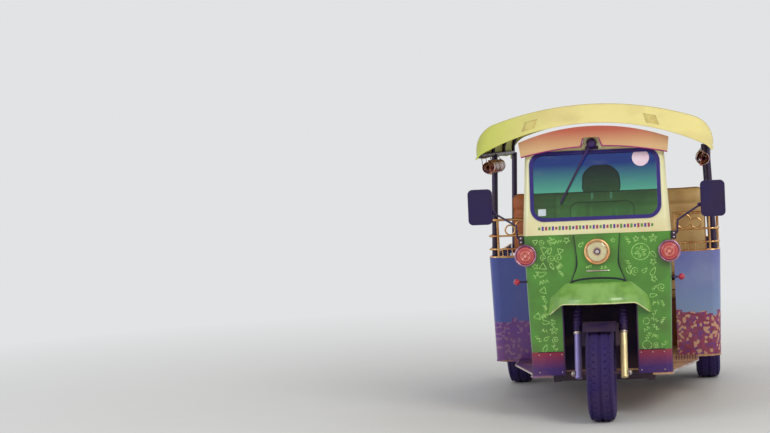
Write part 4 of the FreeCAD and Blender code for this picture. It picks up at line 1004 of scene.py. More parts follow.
def make_curtains():
    """A rolled curtain on each side, and straps whose loops reach up and out to the frame's tube."""
    low, high = (np.array(corner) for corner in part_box("rolled_curtains"))
    centre_x, centre_z = high[0] - 0.048, high[2] - 0.062
    points = curtain_points(low, high, centre_x, centre_z)
    shape = surface(points)
    for name, sheet_shape in (("clear_curtain_left", shape), ("clear_curtain_right", mirrored(shape))):
        mesh = make_mesh(name, sheet_shape, closed=False, sharp=70)
        sheet = place_piece(name, mesh, "chassis", clear_roll_painted_shading)
        thicken(sheet, CURTAIN_THICKNESS)
        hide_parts("rolled_curtains")
    turn = np.linspace(0, 2 * np.pi, 40, endpoint=False)
    reach = np.clip(np.sin(turn - 0.2), 0, 1) ** 1.5
    loop = np.stack([centre_x + 0.0425 * np.cos(turn) + 0.0387 * reach, 0 * turn,
                     centre_z + 0.0425 * np.sin(turn) + 0.047 * reach], -1)
    straps = [carried(STRAP_SECTION, loop + (0, place, 0), closed=True, flat=(0, 1, 0))
              for place in CURTAIN_TIES]
    add("curtain_straps", both_sides(joined(straps)), "chassis", "black_plastic", finishes["trim_rubber"])


make_curtains()


# Canopy trim

def make_canopy_trim():
    """Raised seams where the cloth passes over the hoops, and two thin darker patches near the front edge,
    painted shade of folds in the cloth.
    """
    points = canopy_points()
    rows = [int(np.argmin(np.abs(points[:, 0, 1] - place))) for place in HOOP_YS]
    seams = [tube(points[row, 1:-1] + (0, shift, 0.0006), 0.0021, 8)
             for row in rows for shift in (-0.014, 0.014)]
    add("canopy_seams", joined(seams), "chassis", "canopy_fabric", finishes["seam_thread"])
    middle = points.shape[1] // 2
    along, across = np.arange(2, 9)[:, None], np.arange(4)[None]
    for label, column in (("left", middle + 12), ("right", middle - 16)):
        vertices, faces = surface(points[along, column + across] + (0, 0, 0.0012))
        mesh = make_mesh("canopy_patch", (vertices, faces[:, ::-1]), closed=False)
        patch = place_piece("canopy_patch_" + label, mesh, "chassis",
                            finishes["patch_cloth_painted_fold_shade"])
        thicken(patch, 0.0012, 1.0)


make_canopy_trim()


# Lamps

HEADLAMP_CENTRE = (0.0, NOSE_Y - 0.012, HEADLAMP_Z)
SIDE_LAMP_CENTRE = (SIDE_LAMP_X, PANEL_Y - 0.022, SIDE_LAMP_Z)


def lamp_parts(centre, radius):
    """A bowl, a small bulb in it and a thin domed glass over both, each turned about the lamp's axis."""
    seat = 0.82 * radius - 0.0008
    bowl = [(0.0, 0.0034), (seat * 0.22, 0.0032), (seat * 0.60, -0.0005), (seat * 0.97, -0.0072),
            (seat * 0.97, -0.0060), (seat * 0.60, 0.0012), (seat * 0.22, 0.0036), (0.0, 0.0036)]
    bulb = through([(0.0, -0.0125), (seat * 0.12, -0.0110), (seat * 0.17, -0.0065), (seat * 0.17, 0.0010)], 6)
    outer = through([(0.0, -0.0198), (seat * 0.35, -0.0192), (seat * 0.75, -0.0150), (seat * 0.96, -0.0100),
                     (seat, -0.0078)], 6)
    glass = np.concatenate([outer, (outer + (0, 0.0016))[::-1]])
    return [turned(part, centre, (0, 1, 0), 64) for part in (bowl, bulb, glass)]


def lamp_rim(centre, radius):
    """A rolled bead on the front of a lamp body, as a ring of half-round section."""
    turn = np.linspace(0, 2 * np.pi, 14)
    profile = np.stack([0.91 * radius + 0.085 * radius * np.cos(turn), -0.0078 + 0.0042 * np.sin(turn)], -1)
    return turned(profile, centre, (0, 1, 0), 72)


def make_headlamp():
    bowl, bulb, glass = lamp_parts(HEADLAMP_CENTRE, HEADLAMP_RADIUS)
    add("headlamp_bowl", bowl, "chassis", "chrome", lamp_bowl_painted_reflection, sharp=60)
    add("headlamp_bulb", bulb, "chassis", "clear_glass", finishes["bulb_glass"])
    front = add("headlamp_front", glass, "chassis", "clear_glass", lamp_glass, sharp=60)
    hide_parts("headlamp_lens")
    add("headlamp_rim", lamp_rim(HEADLAMP_CENTRE, HEADLAMP_RADIUS), "chassis", "chrome", cream_chrome)
    side_rims = both_sides(lamp_rim(SIDE_LAMP_CENTRE, SIDE_LAMP_RADIUS))
    add("side_lamp_rims", side_rims, "chassis", "chrome", smoky_chrome)


def make_side_lamp_lenses():
    """A dome with raised rings: the depth along the axis rises and falls with the distance from it."""
    seat = 0.82 * SIDE_LAMP_RADIUS - 0.0006
    distance = np.linspace(0, 1, 70)
    dome = -0.0195 + 0.0115 * distance ** 3 - 0.0011 * np.cos(distance * 2 * np.pi * 5.5) * (distance < 0.96)
    profile = np.concatenate([np.stack([seat * distance, dome], -1), [(seat, 0.0036), (0.0, 0.0036)]])
    lens = turned(profile, SIDE_LAMP_CENTRE, (0, 1, 0), 72)
    piece = add("side_lamp_domes", both_sides(lens), "chassis", "red_lens", ringed_lens_painted_highlights, sharp=50)
    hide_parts("side_lamp_lenses")


make_headlamp()
make_side_lamp_lenses()


# Trim of the nose, brow and visor, and marks on the windscreen

BROW_AXIS_Y = -0.991
WIPER_X = -0.010
NOTCH_HALF = 0.062
STICKER_Y = PANEL_Y + 0.0021
STICKER_THICKNESS = 0.0008


def resampled(corners, spacing=0.01):
    """Straight runs between corners, with points at an even spacing."""
    corners = np.asarray(corners, float)
    run = np.concatenate([[0], np.cumsum(np.linalg.norm(np.diff(corners, axis=0), axis=1))])
    wanted = np.linspace(0, run[-1], max(int(run[-1] / spacing), 2))
    return np.stack([np.interp(wanted, run, corners[:, k]) for k in range(corners.shape[1])], -1)


def softened(path, passes):
    """A path with its corners rounded by averaging each point with its neighbours."""
    path = path.copy()
    for _ in range(passes):
        path[1:-1] = (path[:-2] + 2 * path[1:-1] + path[2:]) / 4
    return path


def make_nose_trim():
    """Thin dark lines down both edges of the nose, painted shadow of the gap round it, a thick arched one
    across its foot, and a bright bar.
    """
    y = NOSE_Y + 0.003
    # Dark lines down the nose's edges: painted shadow of the gap.
    edge = softened(resampled([(0.1325, y, 1.086), (0.1160, y, 0.910), (0.1590, y, 0.807)]), 30)
    x = np.linspace(-0.163, 0.163, 60)
    foot = np.stack([x, 0 * x + NOSE_Y - 0.001, 0.8035 + 0.026 * (1 - (x / 0.163) ** 2) ** 0.5], -1)
    lines = joined([both_sides(tube(edge, 0.0032, 10)), tube(foot, 0.0050, 12)])
    add("nose_lines", lines, "chassis", "rubber", finishes["black_line"])
    bar = resampled([(-0.068, NOSE_Y - 0.001, 0.872), (0.068, NOSE_Y - 0.001, 0.872)], 0.004)
    ends = np.minimum(np.arange(len(bar)), np.arange(len(bar))[::-1])
    thick = 0.0052 * np.minimum(1, (ends + 1) / 4) ** 0.5
    add("nose_slot_bar", tube(bar, thick, 14, flat=(0, 1, 0)), "chassis", "chrome", chrome)


def make_brow_lip():
    """A bead along the brow's lower edge: the edge's height by x, laid on the brow's turned surface. Its pale
    colour is a painted highlight on the edge.
    """
    x = np.linspace(-0.291, 0.291, 120)
    past = np.abs(x) - 0.215
    drop = 0.066 / 0.077 * (past + np.sqrt(past ** 2 + 0.014 ** 2)) / 2
    z = 0.688 - drop
    plan = 0.331 + (0.720 - z) / 0.110 * 0.018 - 0.003
    y = BROW_AXIS_Y - np.sqrt(np.maximum(plan ** 2 - x ** 2, 0))
    lip = np.stack([x, np.minimum(y, PANEL_Y - 0.003), z + 0.001], -1)
    add("brow_lip", tube(lip, 0.0042, 10, flat=(0, 0, 1)), "chassis", "green_paint", finishes["lip_paint_painted_highlight"])


def visor_edge(x):
    """Points of the visor's lower edge: an arc from the front, on the bulged face that leans forwards."""
    z = 1.552 + 0.052 * (1 - (x / 0.430) ** 2)
    y = PANEL_Y + 0.079 - 0.040 * (1 - (x / 0.445) ** 2) - (z - 1.500) * math.tan(math.radians(22)) - 0.002
    return np.stack([x, y, z], -1)


def make_visor_trim():
    """A bead along the visor's lower edge, broken at the notch, and the wiper motor's cover in the notch."""
    paths = [visor_edge(np.linspace(low_x, high_x, 60))
             for low_x, high_x in ((-0.428, WIPER_X - NOTCH_HALF), (WIPER_X + NOTCH_HALF, 0.428))]
    for side in (-1, 1):
        corner = visor_edge(np.array([WIPER_X + side * NOTCH_HALF]))[0]
        paths.append(resampled([corner, (WIPER_X + side * 0.047, PANEL_Y - 0.020, 1.652)], 0.006))
    beads = [tube(path, 0.0036, 10, flat=(0, 1, 0)) for path in paths]
    add("visor_bead", joined(beads), "chassis", "cream_paint", finishes["magenta_line"])
    wide, high = np.linspace(-1, 1, 20)[None], np.linspace(0, 1, 14)[:, None]
    half = NOTCH_HALF - 0.018 * high
    x, y, z = WIPER_X + half * wide, -1.080 - 0.036 * high, 1.584 + 0.080 * high
    back = np.stack(np.broadcast_arrays(x, y, z), -1)
    plate = place_piece("notch_backing", make_mesh("notch_backing", surface(back), closed=False), "chassis",
                        finishes["cream_paint"])
    thicken(plate, 0.002)
    profile = through([(0.0, -0.030), (0.016, -0.029), (0.026, -0.022), (0.030, -0.006), (0.031, 0.016)], 6)
    profile = np.concatenate([profile, [(0.0, 0.016)]])
    cover = turned(profile, (WIPER_X, -1.112, 1.620), (0, 1, -0.16), 40)
    add("wiper_motor_cover", cover, "chassis", "black_plastic", finishes["lamp_plastic"])


def leaned(points):
    """Points of the upright windscreen, tipped back with it about the top edge of the front panel."""
    y, z = points[..., 1] - PANEL_Y, points[..., 2] - PANEL_TOP
    c, s = math.cos(SCREEN_LEAN), math.sin(SCREEN_LEAN)
    return np.stack([points[..., 0], PANEL_Y + y * c + z * s, PANEL_TOP - y * s + z * c], -1)


def bar_shape(middle, width, height, y, thickness):
    """A small flat block with slightly slanted ends."""
    x = np.array([-width / 2, width / 2, width / 2 + 0.001, -width / 2 + 0.001])
    points = np.zeros((4, 4, 3))
    points[..., 0] = middle[0] + x
    points[..., 1] = y + np.array([0, 0, thickness, thickness])[:, None]
    points[..., 2] = middle[1] + np.array([-height / 2, -height / 2, height / 2, height / 2])
    points[[0, 3], :, 0], points[[0, 3], :, 2] = middle
    return surface(points, wrap_across=True)


def make_screen_marks():
    """Two plain stickers on the glass and a row of small coloured bars on the frame below it."""
    profile = [(0, 0), (0.050, 0), (0.050, STICKER_THICKNESS), (0, STICKER_THICKNESS)]
    round_one = turned(profile, (0.272, STICKER_Y, 1.530), (0, 1, 0), 40)
    square_one = bar_shape((-0.316, 1.226), 0.046, 0.040, STICKER_Y, STICKER_THICKNESS)
    marks = [("round_sticker", round_one, "clear_glass", "pink_sticker"),
             ("square_sticker", square_one, "clear_glass", "pale_sticker")]
    x = np.linspace(-0.335, 0.325, 34)
    tall = 0.016 + 0.009 * np.abs(np.sin(np.arange(34) * 1.9))
    for start, label in enumerate(("green_bar", "violet_bar", "crimson_bar")):
        bars = [bar_shape((x[k], 1.130), 0.0125, tall[k], PANEL_Y - 0.0008, 0.0016)
                for k in range(start, 34, 3)]
        marks.append(("frame_" + label + "s", joined(bars), "cream_paint", label))
    for name, (vertices, faces), slot, finish in marks:
        add(name, (leaned(vertices), faces), "chassis", slot, finishes[finish])


make_nose_trim()
make_brow_lip()
make_visor_trim()
make_screen_marks()


# Chalk drawings: plain shapes as lines on the front panel and nose

CHALK_WIDTH = 0.0042
# Middle of the large ring drawn at the vehicle's left
RING_PLACE = (0.252, 0.975)


def spiral():
    t = np.linspace(0.05, 1, 44)
    angle = 2 * np.pi * 1.8 * t
    return np.stack([t * np.cos(angle), t * np.sin(angle)], -1)


def wavy():
    t = np.linspace(-1, 1, 36)
    return np.stack([t, 0.35 * np.sin(2.4 * np.pi * t)], -1)


def zigzag():
    t = np.linspace(-1, 1, 7)
    return resampled(np.stack([t, 0.45 * np.where(np.arange(7) % 2, 1, -1)], -1), 0.16)


def ring_line():
    t = np.linspace(0, 2 * np.pi, 34)
    return np.stack([np.cos(t), 0.92 * np.sin(t)], -1)


def leaf():
    t = np.linspace(0, 2 * np.pi, 44)
    return np.stack([np.cos(t), 0.42 * np.sin(t) * (1 - 0.55 * np.cos(t))], -1)


def rosette(petals=5):
    t = np.linspace(0, 2 * np.pi, 80)
    radius = 0.62 + 0.36 * np.cos(petals * t)
    return np.stack([radius * np.cos(t), radius * np.sin(t)], -1)


def star():
    t = np.arange(11) * np.pi / 5
    radius = np.where(np.arange(11) % 2, 0.42, 1.0)
    return resampled(np.stack([radius * np.sin(t), radius * np.cos(t)], -1), 0.12)


def curls():
    t = np.linspace(0, 4 * np.pi, 80)
    return np.stack([(t / (2 * np.pi) - 1) + 0.34 * np.sin(t), -0.34 * np.cos(t)], -1)


def triangle():
    return resampled([(-0.9, -0.7), (0.9, -0.7), (0.0, 0.8), (-0.9, -0.7)], 0.15)


def hatch():
    t = np.linspace(-1, 1, 9)
    return resampled(np.stack([t * 0.9, np.where(np.arange(9) % 2, 0.8, -0.8)], -1), 0.2)


def drawn(line, middle, size, turn, y):
    """A line shape, sized, turned and laid on the panel as a flat strip."""
    c, s = math.cos(turn) * size, math.sin(turn) * size
    x = middle[0] + c * line[:, 0] - s * line[:, 1]
    z = middle[1] + s * line[:, 0] + c * line[:, 1]
    half = CHALK_WIDTH / 2
    section = np.array([(-half, -0.0003), (half, -0.0003), (half, 0.0005), (-half, 0.0005)])
    return carried(section, np.stack([x, 0 * x + y, z], -1), flat=(0, 1, 0))


def on_open_panel(x, z, size):
    """Whether a drawing there keeps clear of lamps, nose, brow, ring and wheel opening."""
    side, reach = abs(x), 0.7 * size
    inner = 0.160 if z > 0.79 else 0.226
    under_brow = z - reach < 0.810 and z + reach > 0.628 and side - reach < 0.285
    off_lamp = math.hypot(side - SIDE_LAMP_X, z - SIDE_LAMP_Z) > 0.068 + 0.6 * size
    off_ring = math.hypot(x - RING_PLACE[0], z - RING_PLACE[1]) > 0.056 + size
    return (inner < side - reach and side + reach < 0.384 and 0.406 < z - reach and z + reach < 1.084
            and off_lamp and off_ring and not under_brow)


def make_chalk_drawings():
    """A loose grid of drawings; a fixed pattern of random numbers shifts each one's place, turn and size."""
    numbers = np.random.default_rng(11)
    lines = [spiral(), wavy(), zigzag(), leaf(), rosette(), star(), curls(), triangle(), hatch(), ring_line()]
    on_nose = ((curls(), (0.035, 0.892), 0.020, 0.1), (wavy(), (-0.052, 0.898), 0.018, 0.3),
               (leaf(), (-0.092, 1.030), 0.018, 0.8), (star(), (0.094, 1.048), 0.015, 0.2))
    strips = [drawn(ring_line(), RING_PLACE, 0.052, 0.0, PANEL_Y),
              drawn(rosette(6), RING_PLACE, 0.036, 0.3, PANEL_Y)]
    strips += [drawn(*drawing, NOSE_Y) for drawing in on_nose]
    for z in np.arange(0.428, 1.08, 0.048):
        for x in np.arange(-0.371, 0.38, 0.0495):
            shift_x, shift_z, turn, grow, pick, kept = numbers.random(6)
            place = (x + 0.014 * (shift_x - 0.5), z + 0.012 * (shift_z - 0.5))
            size = 0.018 + 0.009 * grow
            if kept < 0.97 and on_open_panel(*place, size):
                line = lines[int(pick * len(lines))]
                strips.append(drawn(line, place, size, 2 * math.pi * (turn - 0.5) * 0.4, PANEL_Y))
    add("chalk_drawings", joined(strips), "chassis", "green_paint", chalk_line, sharp=30)


make_chalk_drawings()


# Fork bellows, wheel fittings, handlebar grips and dial

FORK_AXIS = (0, math.sin(RAKE), math.cos(RAKE))
NUTS, NUT_CIRCLE = 5, 0.0735
DIAL_AXIS = (0.0, 0.62, 0.78)
DIAL_MARKS, DIAL_SWEEP = 25, 260


def up_the_fork(side, distance):
    """A point on a fork leg's centre line, measured up from the axle."""
    return np.array([side * FORK_X, FRONT_AXLE_Y + distance * math.sin(RAKE),
                     TYRE_RADIUS + distance * math.cos(RAKE)])


def make_bellows():
    """A rubber sleeve over each fork leg: its radius rises and falls with the distance along the leg."""
    distance = np.linspace(0.247, 0.394, 110)
    radius = 0.0245 + 0.0032 * np.cos((distance - 0.2675) / 0.022 * 2 * np.pi)
    radius = np.where(distance < 0.253, 0.0262, radius)
    radius = np.where(distance > 0.388, 0.0235, radius)
    sleeve = [(0.0, distance[0]), *zip(radius, distance), (0.0, distance[-1])]
    clamp = [(0.0, 0.2445), (0.0275, 0.2445), (0.0275, 0.2505), (0.0, 0.2505)]
    seal = [(0.0, 0.2385), (0.0232, 0.2385), (0.0238, 0.2440), (0.0, 0.2440)]

    def on_legs(*profiles):
        return joined([turned(profile, up_the_fork(side, 0.0), FORK_AXIS, 40)
                       for side in (-1, 1) for profile in profiles])

    add("fork_bellows", on_legs(sleeve), "steering", "rubber", finishes["trim_rubber"])
    add("bellows_clamps", on_legs(clamp, seal), "steering", "silver", finishes["silver_paint"])


def hexagon(centre, axis, across_flats, height):
    """A nut with a turned face: six sides, a bevel at the top and a domed bolt end."""
    radius = across_flats / math.sqrt(3)
    flats = [(0, 0), (radius, 0), (radius, 0.82 * height), (0.86 * radius, height), (0, height)]
    dome = [(0, 0), (0.52 * radius, 0), (0.52 * radius, 1.3 * height), (0.3 * radius, 1.45 * height),
            (0, 1.5 * height)]
    return joined([turned(flats, centre, axis, 6), turned(dome, centre, axis, 16)])


def make_wheel_fittings():
    """Nuts and a pressed cap on each rear wheel, valves, and a nut and washer at each front axle end."""
    dome = through([(0.0, 0.0235), (0.012, 0.0228), (0.026, 0.0180), (0.0345, 0.0085), (0.0375, 0.0005)], 6)
    dome = np.concatenate([dome, [(0.0405, 0.0), (0.0405, -0.0035), (0.0, -0.0035)]])
    for wheel, (x, y, z), facing in WHEELS[1:]:
        turns = 2 * math.pi * (np.arange(NUTS) + 0.25) / NUTS
        places = [(x + facing * 0.020, y + NUT_CIRCLE * math.cos(turn), z + NUT_CIRCLE * math.sin(turn))
                  for turn in turns]
        nuts = [hexagon(place, (facing, 0, 0), 0.017, 0.014) for place in places]
        add(wheel + "_nuts", joined(nuts), wheel, "silver", finishes["silver_paint"], sharp=25)
        cap = turned(dome, (x + facing * 0.0455, y, z), (facing, 0, 0), 48)
        add(wheel + "_cap", cap, wheel, "chrome", chrome)
    for wheel, (x, y, z), side in WHEELS:
        facing = side or 1
        foot = np.array([x + facing * 0.018, y + 0.118, z])
        bend, end = foot + (facing * 0.018, -0.002, 0), foot + (facing * 0.038, -0.012, 0)
        stem = resampled([foot, bend, end], 0.004)
        add(wheel + "_valve", tube(stem, 0.0042, 10), wheel, "rubber", finishes["trim_rubber"])
    axle = np.array([0.0, FRONT_AXLE_Y, TYRE_RADIUS])
    ring = [(0, 0), (0.019, 0), (0.019, 0.003), (0, 0.003)]
    ends = [hexagon(axle + (side * 0.1625, 0, 0), (side, 0, 0), 0.027, 0.010) for side in (-1, 1)]
    washers = [turned(ring, axle + (side * 0.1545, 0, 0), (side, 0, 0), 32) for side in (-1, 1)]
    add("front_axle_nuts", joined(ends + washers), "steering", "silver", finishes["silver_paint"], sharp=25)


def make_grips():
    """Ribbed rubber grips on the last run of the handlebar, with a lever and a small switch pod on each."""
    foot, tip = np.array([0.214, -0.8326, 1.0450]), np.array([0.331, -0.7909, 1.0495])
    along = unit(tip - foot)
    length = float(np.linalg.norm(tip - foot))
    distance = np.linspace(0, length, 90)
    radius = 0.0160 + 0.0012 * np.cos(distance / 0.0065 * 2 * np.pi)
    radius = np.where(distance < 0.006, 0.0215, np.where(distance > length - 0.006, 0.0195, radius))
    grip = turned([(0.0, 0.0), *zip(radius, distance), (0.0, length)], foot, along, 32)
    add("handlebar_grips", both_sides(grip), "steering", "rubber", finishes["trim_rubber"])
    pod = turned([(0, 0), (0.017, 0), (0.021, 0.004), (0.021, 0.028), (0.017, 0.032), (0, 0.032)],
                 foot - 0.038 * along, along, 28)
    switch = turned([(0, 0), (0.006, 0), (0.006, 0.006), (0.004, 0.008), (0, 0.008)],
                    foot - 0.022 * along + (0, 0.019, 0.004), (0, 1, 0.2), 16)
    add("switch_pods", both_sides(joined([pod, switch])), "steering", "black_plastic",
        finishes["lamp_plastic"])
    bends = ((-0.014, -0.016, -0.002), (0.010, -0.030, -0.004), (0.045, -0.036, -0.006),
             (0.088, -0.031, -0.004))
    lever = through([foot + distance * along + (0, y, z) for distance, y, z in bends], 10)
    thick = np.interp(np.arange(len(lever)), [0, 4, 24, len(lever) - 3, len(lever) - 1],
                      [0.0052, 0.0045, 0.0038, 0.0042, 0.0030])
    add("brake_levers", both_sides(tube(lever, thick, 12)), "steering", "silver", finishes["silver_paint"])
    clamp = [(0, -0.010), (0.017, -0.010), (0.019, -0.006), (0.019, 0.006), (0.015, 0.010), (0, 0.010)]
    halves = [turned(clamp, (x, -0.8985, 1.0165), (1, 0, 0), 28) for x in (-0.034, 0.034)]
    add("handlebar_clamps", joined(halves), "steering", "silver", finishes["silver_paint"])


def make_dial():
    """A speed dial on the dash: a rim, a pale face with even marks and a needle, and four small lights."""
    centre, axis = np.array([0.0, -1.0725, 1.0860]), unit(np.array(DIAL_AXIS))
    body = [(0, -0.030), (0.040, -0.030), (0.046, -0.010), (0.047, 0.004), (0.044, 0.006), (0.0415, 0.004),
            (0.0415, -0.003), (0, -0.003)]
    add("dial_housing", turned(body, centre, axis, 56), "chassis", "black_plastic", finishes["lamp_plastic"])
    face = turned([(0, -0.0028), (0.0405, -0.0028), (0.0405, -0.0018), (0, -0.0018)], centre, axis, 48)
    add("dial_face", face, "chassis", "black_plastic", finishes["bare_plate"])
    side = np.array([1.0, 0, 0])
    other = np.cross(axis, side)

    def outwards(turn, distances, level):
        way = math.sin(turn) * side - math.cos(turn) * other
        return np.array([centre + way * distance + axis * level for distance in distances])

    marks = []
    for k in range(DIAL_MARKS):
        turn = math.radians(-DIAL_SWEEP / 2 + DIAL_SWEEP * k / (DIAL_MARKS - 1))
        start = 0.030 if k % 4 == 0 else 0.034
        marks.append(tube(outwards(turn, np.linspace(start, 0.038, 4), -0.0014), 0.0006, 6))
    needle = outwards(-1.9, np.linspace(-0.008, 0.031, 8), -0.0008)
    marks.append(tube(needle, np.linspace(0.0014, 0.0006, 8), 8))
    add("dial_marks", joined(marks), "chassis", "black_plastic", finishes["black_line"])
    lights = [turned([(0, 0), (0.006, 0), (0.005, 0.003), (0, 0.004)], (x, -1.0560, 1.0685), DIAL_AXIS, 20)
              for x in (-0.095, -0.070, 0.070, 0.095)]
    add("dash_lights", joined(lights), "chassis", "red_lens", ball_lens)


make_bellows()
make_wheel_fittings()
make_grips()
make_dial()


# Edging, screws, wiper rubber and mirror details

# Where the step edging turns, and the level of its middle
STEP_EDGE = ((0.4145, -1.150), (0.4145, -1.048), (0.5625, -0.520), (0.5625, -0.244))
STEP_EDGE_Z = 0.2575
BODY_BEAD_RADIUS = 0.0078
REAR_ARCH_RADIUS = 0.335
# Opposite corners of the back of the mirror on the vehicle's left
MIRROR_LOW, MIRROR_HIGH = np.array((0.610, 0, 1.165)), np.array((0.752, 0, 1.375))


def panel_half_width(height):
    """Half the width of the front panel at a height."""
    share = (height - PANEL_BOTTOM) / (PANEL_TOP - PANEL_BOTTOM)
    return PANEL_LOW_HALF + np.clip(share, 0, 1) * (PANEL_HIGH_HALF - PANEL_LOW_HALF)


def make_panel_edging():
    """Soft edging on the front panel's rear edges and round the wheel opening, and a seam at its foot."""
    z = np.linspace(FLOOR_TOP + 0.006, PANEL_TOP - 0.004, 60)
    edge = np.stack([panel_half_width(z) - 0.006, 0 * z + PANEL_Y + 0.0915, z], -1)
    section = 0.001 * np.array([(-8.0, -5), (-8.0, 6), (8.0, 6), (8.0, -5)])
    strip = carried(section, edge, flat=(0, 1, 0))
    add("panel_edging", both_sides(strip), "chassis", "rubber", finishes["edge_rubber"])
    side, top, front = ARCH_HALF + 0.0005, ARCH_TOP - 0.001, PANEL_Y - 0.001
    corners = [(side, front, 0.268), (side, front, top), (-side, front, top), (-side, front, 0.268)]
    arch = softened(resampled(corners, 0.012), 14)
    add("arch_edging", tube(arch, 0.0046, 10), "chassis", "rubber", finishes["edge_rubber"])
    x = np.linspace(0.222, 0.372, 12)
    run = np.stack([x, 0 * x + PANEL_Y - 0.0002, 0 * x + PANEL_BOTTOM], -1)
    seam = [tube(run * (side, 1, 1), 0.0022, 8) for side in (-1, 1)]
    add("panel_seam", joined(seam), "chassis", "rubber", finishes["black_line"])


def make_body_edging():
    """Beads along the side panels' tops and front corners, across the rear and round the wheel arches."""
    front, outer = BODY_FRONT_Y + 0.006, BODY_X - 0.006
    corners = [(0.441, front, BODY_TOP), (outer, front, BODY_TOP), (outer, BODY_REAR_Y - 0.004, BODY_TOP)]
    rail = softened(resampled(corners, 0.010), 40) + (0, 0, 0.001)
    add("body_edging", both_sides(tube(rail, BODY_BEAD_RADIUS, 12)), "chassis", "chrome", brass)
    x = np.linspace(-0.690, 0.690, 60)
    rear = np.stack([x, 0 * x + BODY_REAR_Y - 0.006, 0 * x + BODY_TOP + 0.001], -1)
    add("rear_edging", tube(rear, BODY_BEAD_RADIUS, 12), "chassis", "chrome", brass)
    turn = np.linspace(math.radians(9), math.radians(171), 70)
    arch = np.stack([0 * turn + BODY_X - 0.0105, REAR_AXLE_Y + REAR_ARCH_RADIUS * np.cos(turn),
                     TYRE_RADIUS + REAR_ARCH_RADIUS * np.sin(turn)], -1)
    arch[:, 0] -= (BODY_TOP - arch[:, 2]) / (BODY_TOP - 0.262) * 0.010
    add("rear_arch_edging", both_sides(tube(arch, 0.0072, 10)), "chassis", "rubber", finishes["edge_rubber"])


def make_step_edging():
    """A worn bright strip along the edge of the floor plate, round the step, and ribs on the step."""
    edge = softened(resampled([(x, y, STEP_EDGE_Z) for x, y in STEP_EDGE], 0.012), 8)
    add("step_edging", both_sides(tube(edge, 0.0062, 10)), "chassis", "silver", finishes["silver_paint"])
    ribs = []
    for x in np.linspace(0.430, 0.548, 8):
        front = -0.49 - (0.548 - x) * 0.2
        run = resampled([(x, y, FLOOR_TOP + 0.0008) for y in (front, -0.236)], 0.02)
        ribs.append(tube(run, 0.0022, 8, flat=(0, 0, 1)))
    add("step_ribs", both_sides(joined(ribs)), "chassis", "rubber", finishes["edge_rubber"])


def screws(across, y, heights, facing, radius=0.0055):
    """Low domed heads at every pair of a place across and a height, facing forwards (-1) or back (1)."""
    profile = [(0, -0.001), (radius, -0.001), (radius, 0.0008), (0.72 * radius, 0.0024), (0, 0.0030)]
    return [turned(profile, (x, y, z), (0, facing, 0), 14) for x in across for z in heights]


def make_screws():
    """Screw heads at the mirror arms, the front and body panels, the tail lamps and the plate bracket."""
    panel, body_front, body_rear = PANEL_Y - 0.0005, BODY_FRONT_Y - 0.0005, BODY_REAR_Y + 0.0005
    tail_lamp, bracket = (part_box(name)[1][1] - 0.0002 for name in ("tail_lamp_lenses", "plate_bracket"))
    heads = (screws((0.448,), PANEL_Y + 0.0245, (1.052, 1.076), -1)
             + screws((0.232, 0.300, 0.366), panel, (0.384,), -1, 0.0045)
             + screws((0.232, 0.366), panel, (0.280,), -1, 0.0045)
             + screws((0.452,), body_front, (0.30, 0.50, 0.70, 0.88), -1, 0.0045))
    add("cab_screws", both_sides(joined(heads)), "chassis", "silver", finishes["silver_paint"])
    tail = (screws((0.12, 0.36, 0.66), body_rear, (0.335, 0.892), 1)
            + screws((0.545,), tail_lamp, (0.712, 0.848), 1, 0.004)
            + screws((0.158,), bracket, (0.569, 0.671), 1))
    add("rear_screws", both_sides(joined(tail)), "chassis", "silver", finishes["silver_paint"])


def make_wiper_rubber():
    """A pressed arm that narrows towards its tip, its spring housing, and a thin blade along the glass."""
    pivot, tip = np.array([WIPER_X, PANEL_Y - 0.031, 1.632]), np.array([-0.150, PANEL_Y - 0.025, 1.370])
    share = np.linspace(0, 1, 40)
    path = leaned(pivot + (tip - pivot) * share[:, None])
    thick = np.interp(share, [0, 0.05, 0.30, 0.36, 1], [0.0130, 0.0130, 0.0095, 0.0066, 0.0056])
    add("wiper_arm_casing", tube(path, thick, 14), "chassis", "black_plastic", finishes["lamp_plastic"])
    along = unit(tip - pivot)
    middle = tip - 0.020 * along
    blade = leaned(middle + along * np.linspace(-0.134, 0.134, 40)[:, None] + (0, 0.010, 0))
    section = 0.001 * np.array([(-1.4, 0.0), (-3.6, -7.0), (3.6, -7.0), (1.4, 0.0), (0.7, 9.0), (-0.7, 9.0)])
    add("wiper_blade_rubber", carried(section, blade, flat=(0, 0.99, 0.15)), "chassis", "rubber",
        finishes["trim_rubber"])


def make_mirror_detail():
    """A raised rim round the back of each mirror and a ball joint where its arm meets it."""
    section = 0.001 * np.array([(-3.0, 1.5), (3.0, 1.5), (1.6, -2.2), (-1.6, -2.2)])
    loop = edge_loop(MIRROR_LOW + 0.012, MIRROR_HIGH - 0.012, 1, PANEL_Y + 0.0125, 0.022)
    rims = [carried(section, loop * (side, 1, 1), closed=True, flat=(0, -1, 0)) for side in (1, -1)]
    add("mirror_back_rims", joined(rims), "chassis", "black_plastic", finishes["mirror_plastic"])
    ball = through([(0, -0.013), (0.008, -0.0105), (0.0125, -0.004), (0.0125, 0.004), (0.008, 0.0105),
                    (0, 0.013)], 5)
    joints = [turned(ball, (side * 0.602, PANEL_Y + 0.035, 1.235), (1, 0, 0), 28) for side in (1, -1)]
    add("mirror_joints", joined(joints), "chassis", "black_plastic", finishes["trim_rubber"])


make_panel_edging()
make_body_edging()
make_step_edging()
make_screws()
make_wiper_rubber()
make_mirror_detail()


# Studio

FLOOR_REACH = 90.0
# Distances from the middle at which the floor starts to fade and has gone
FADE_START, FADE_END = 1.6, 7.5
DOME_LIGHT = 0.5
BACKGROUND = linear(226, 227, 228)
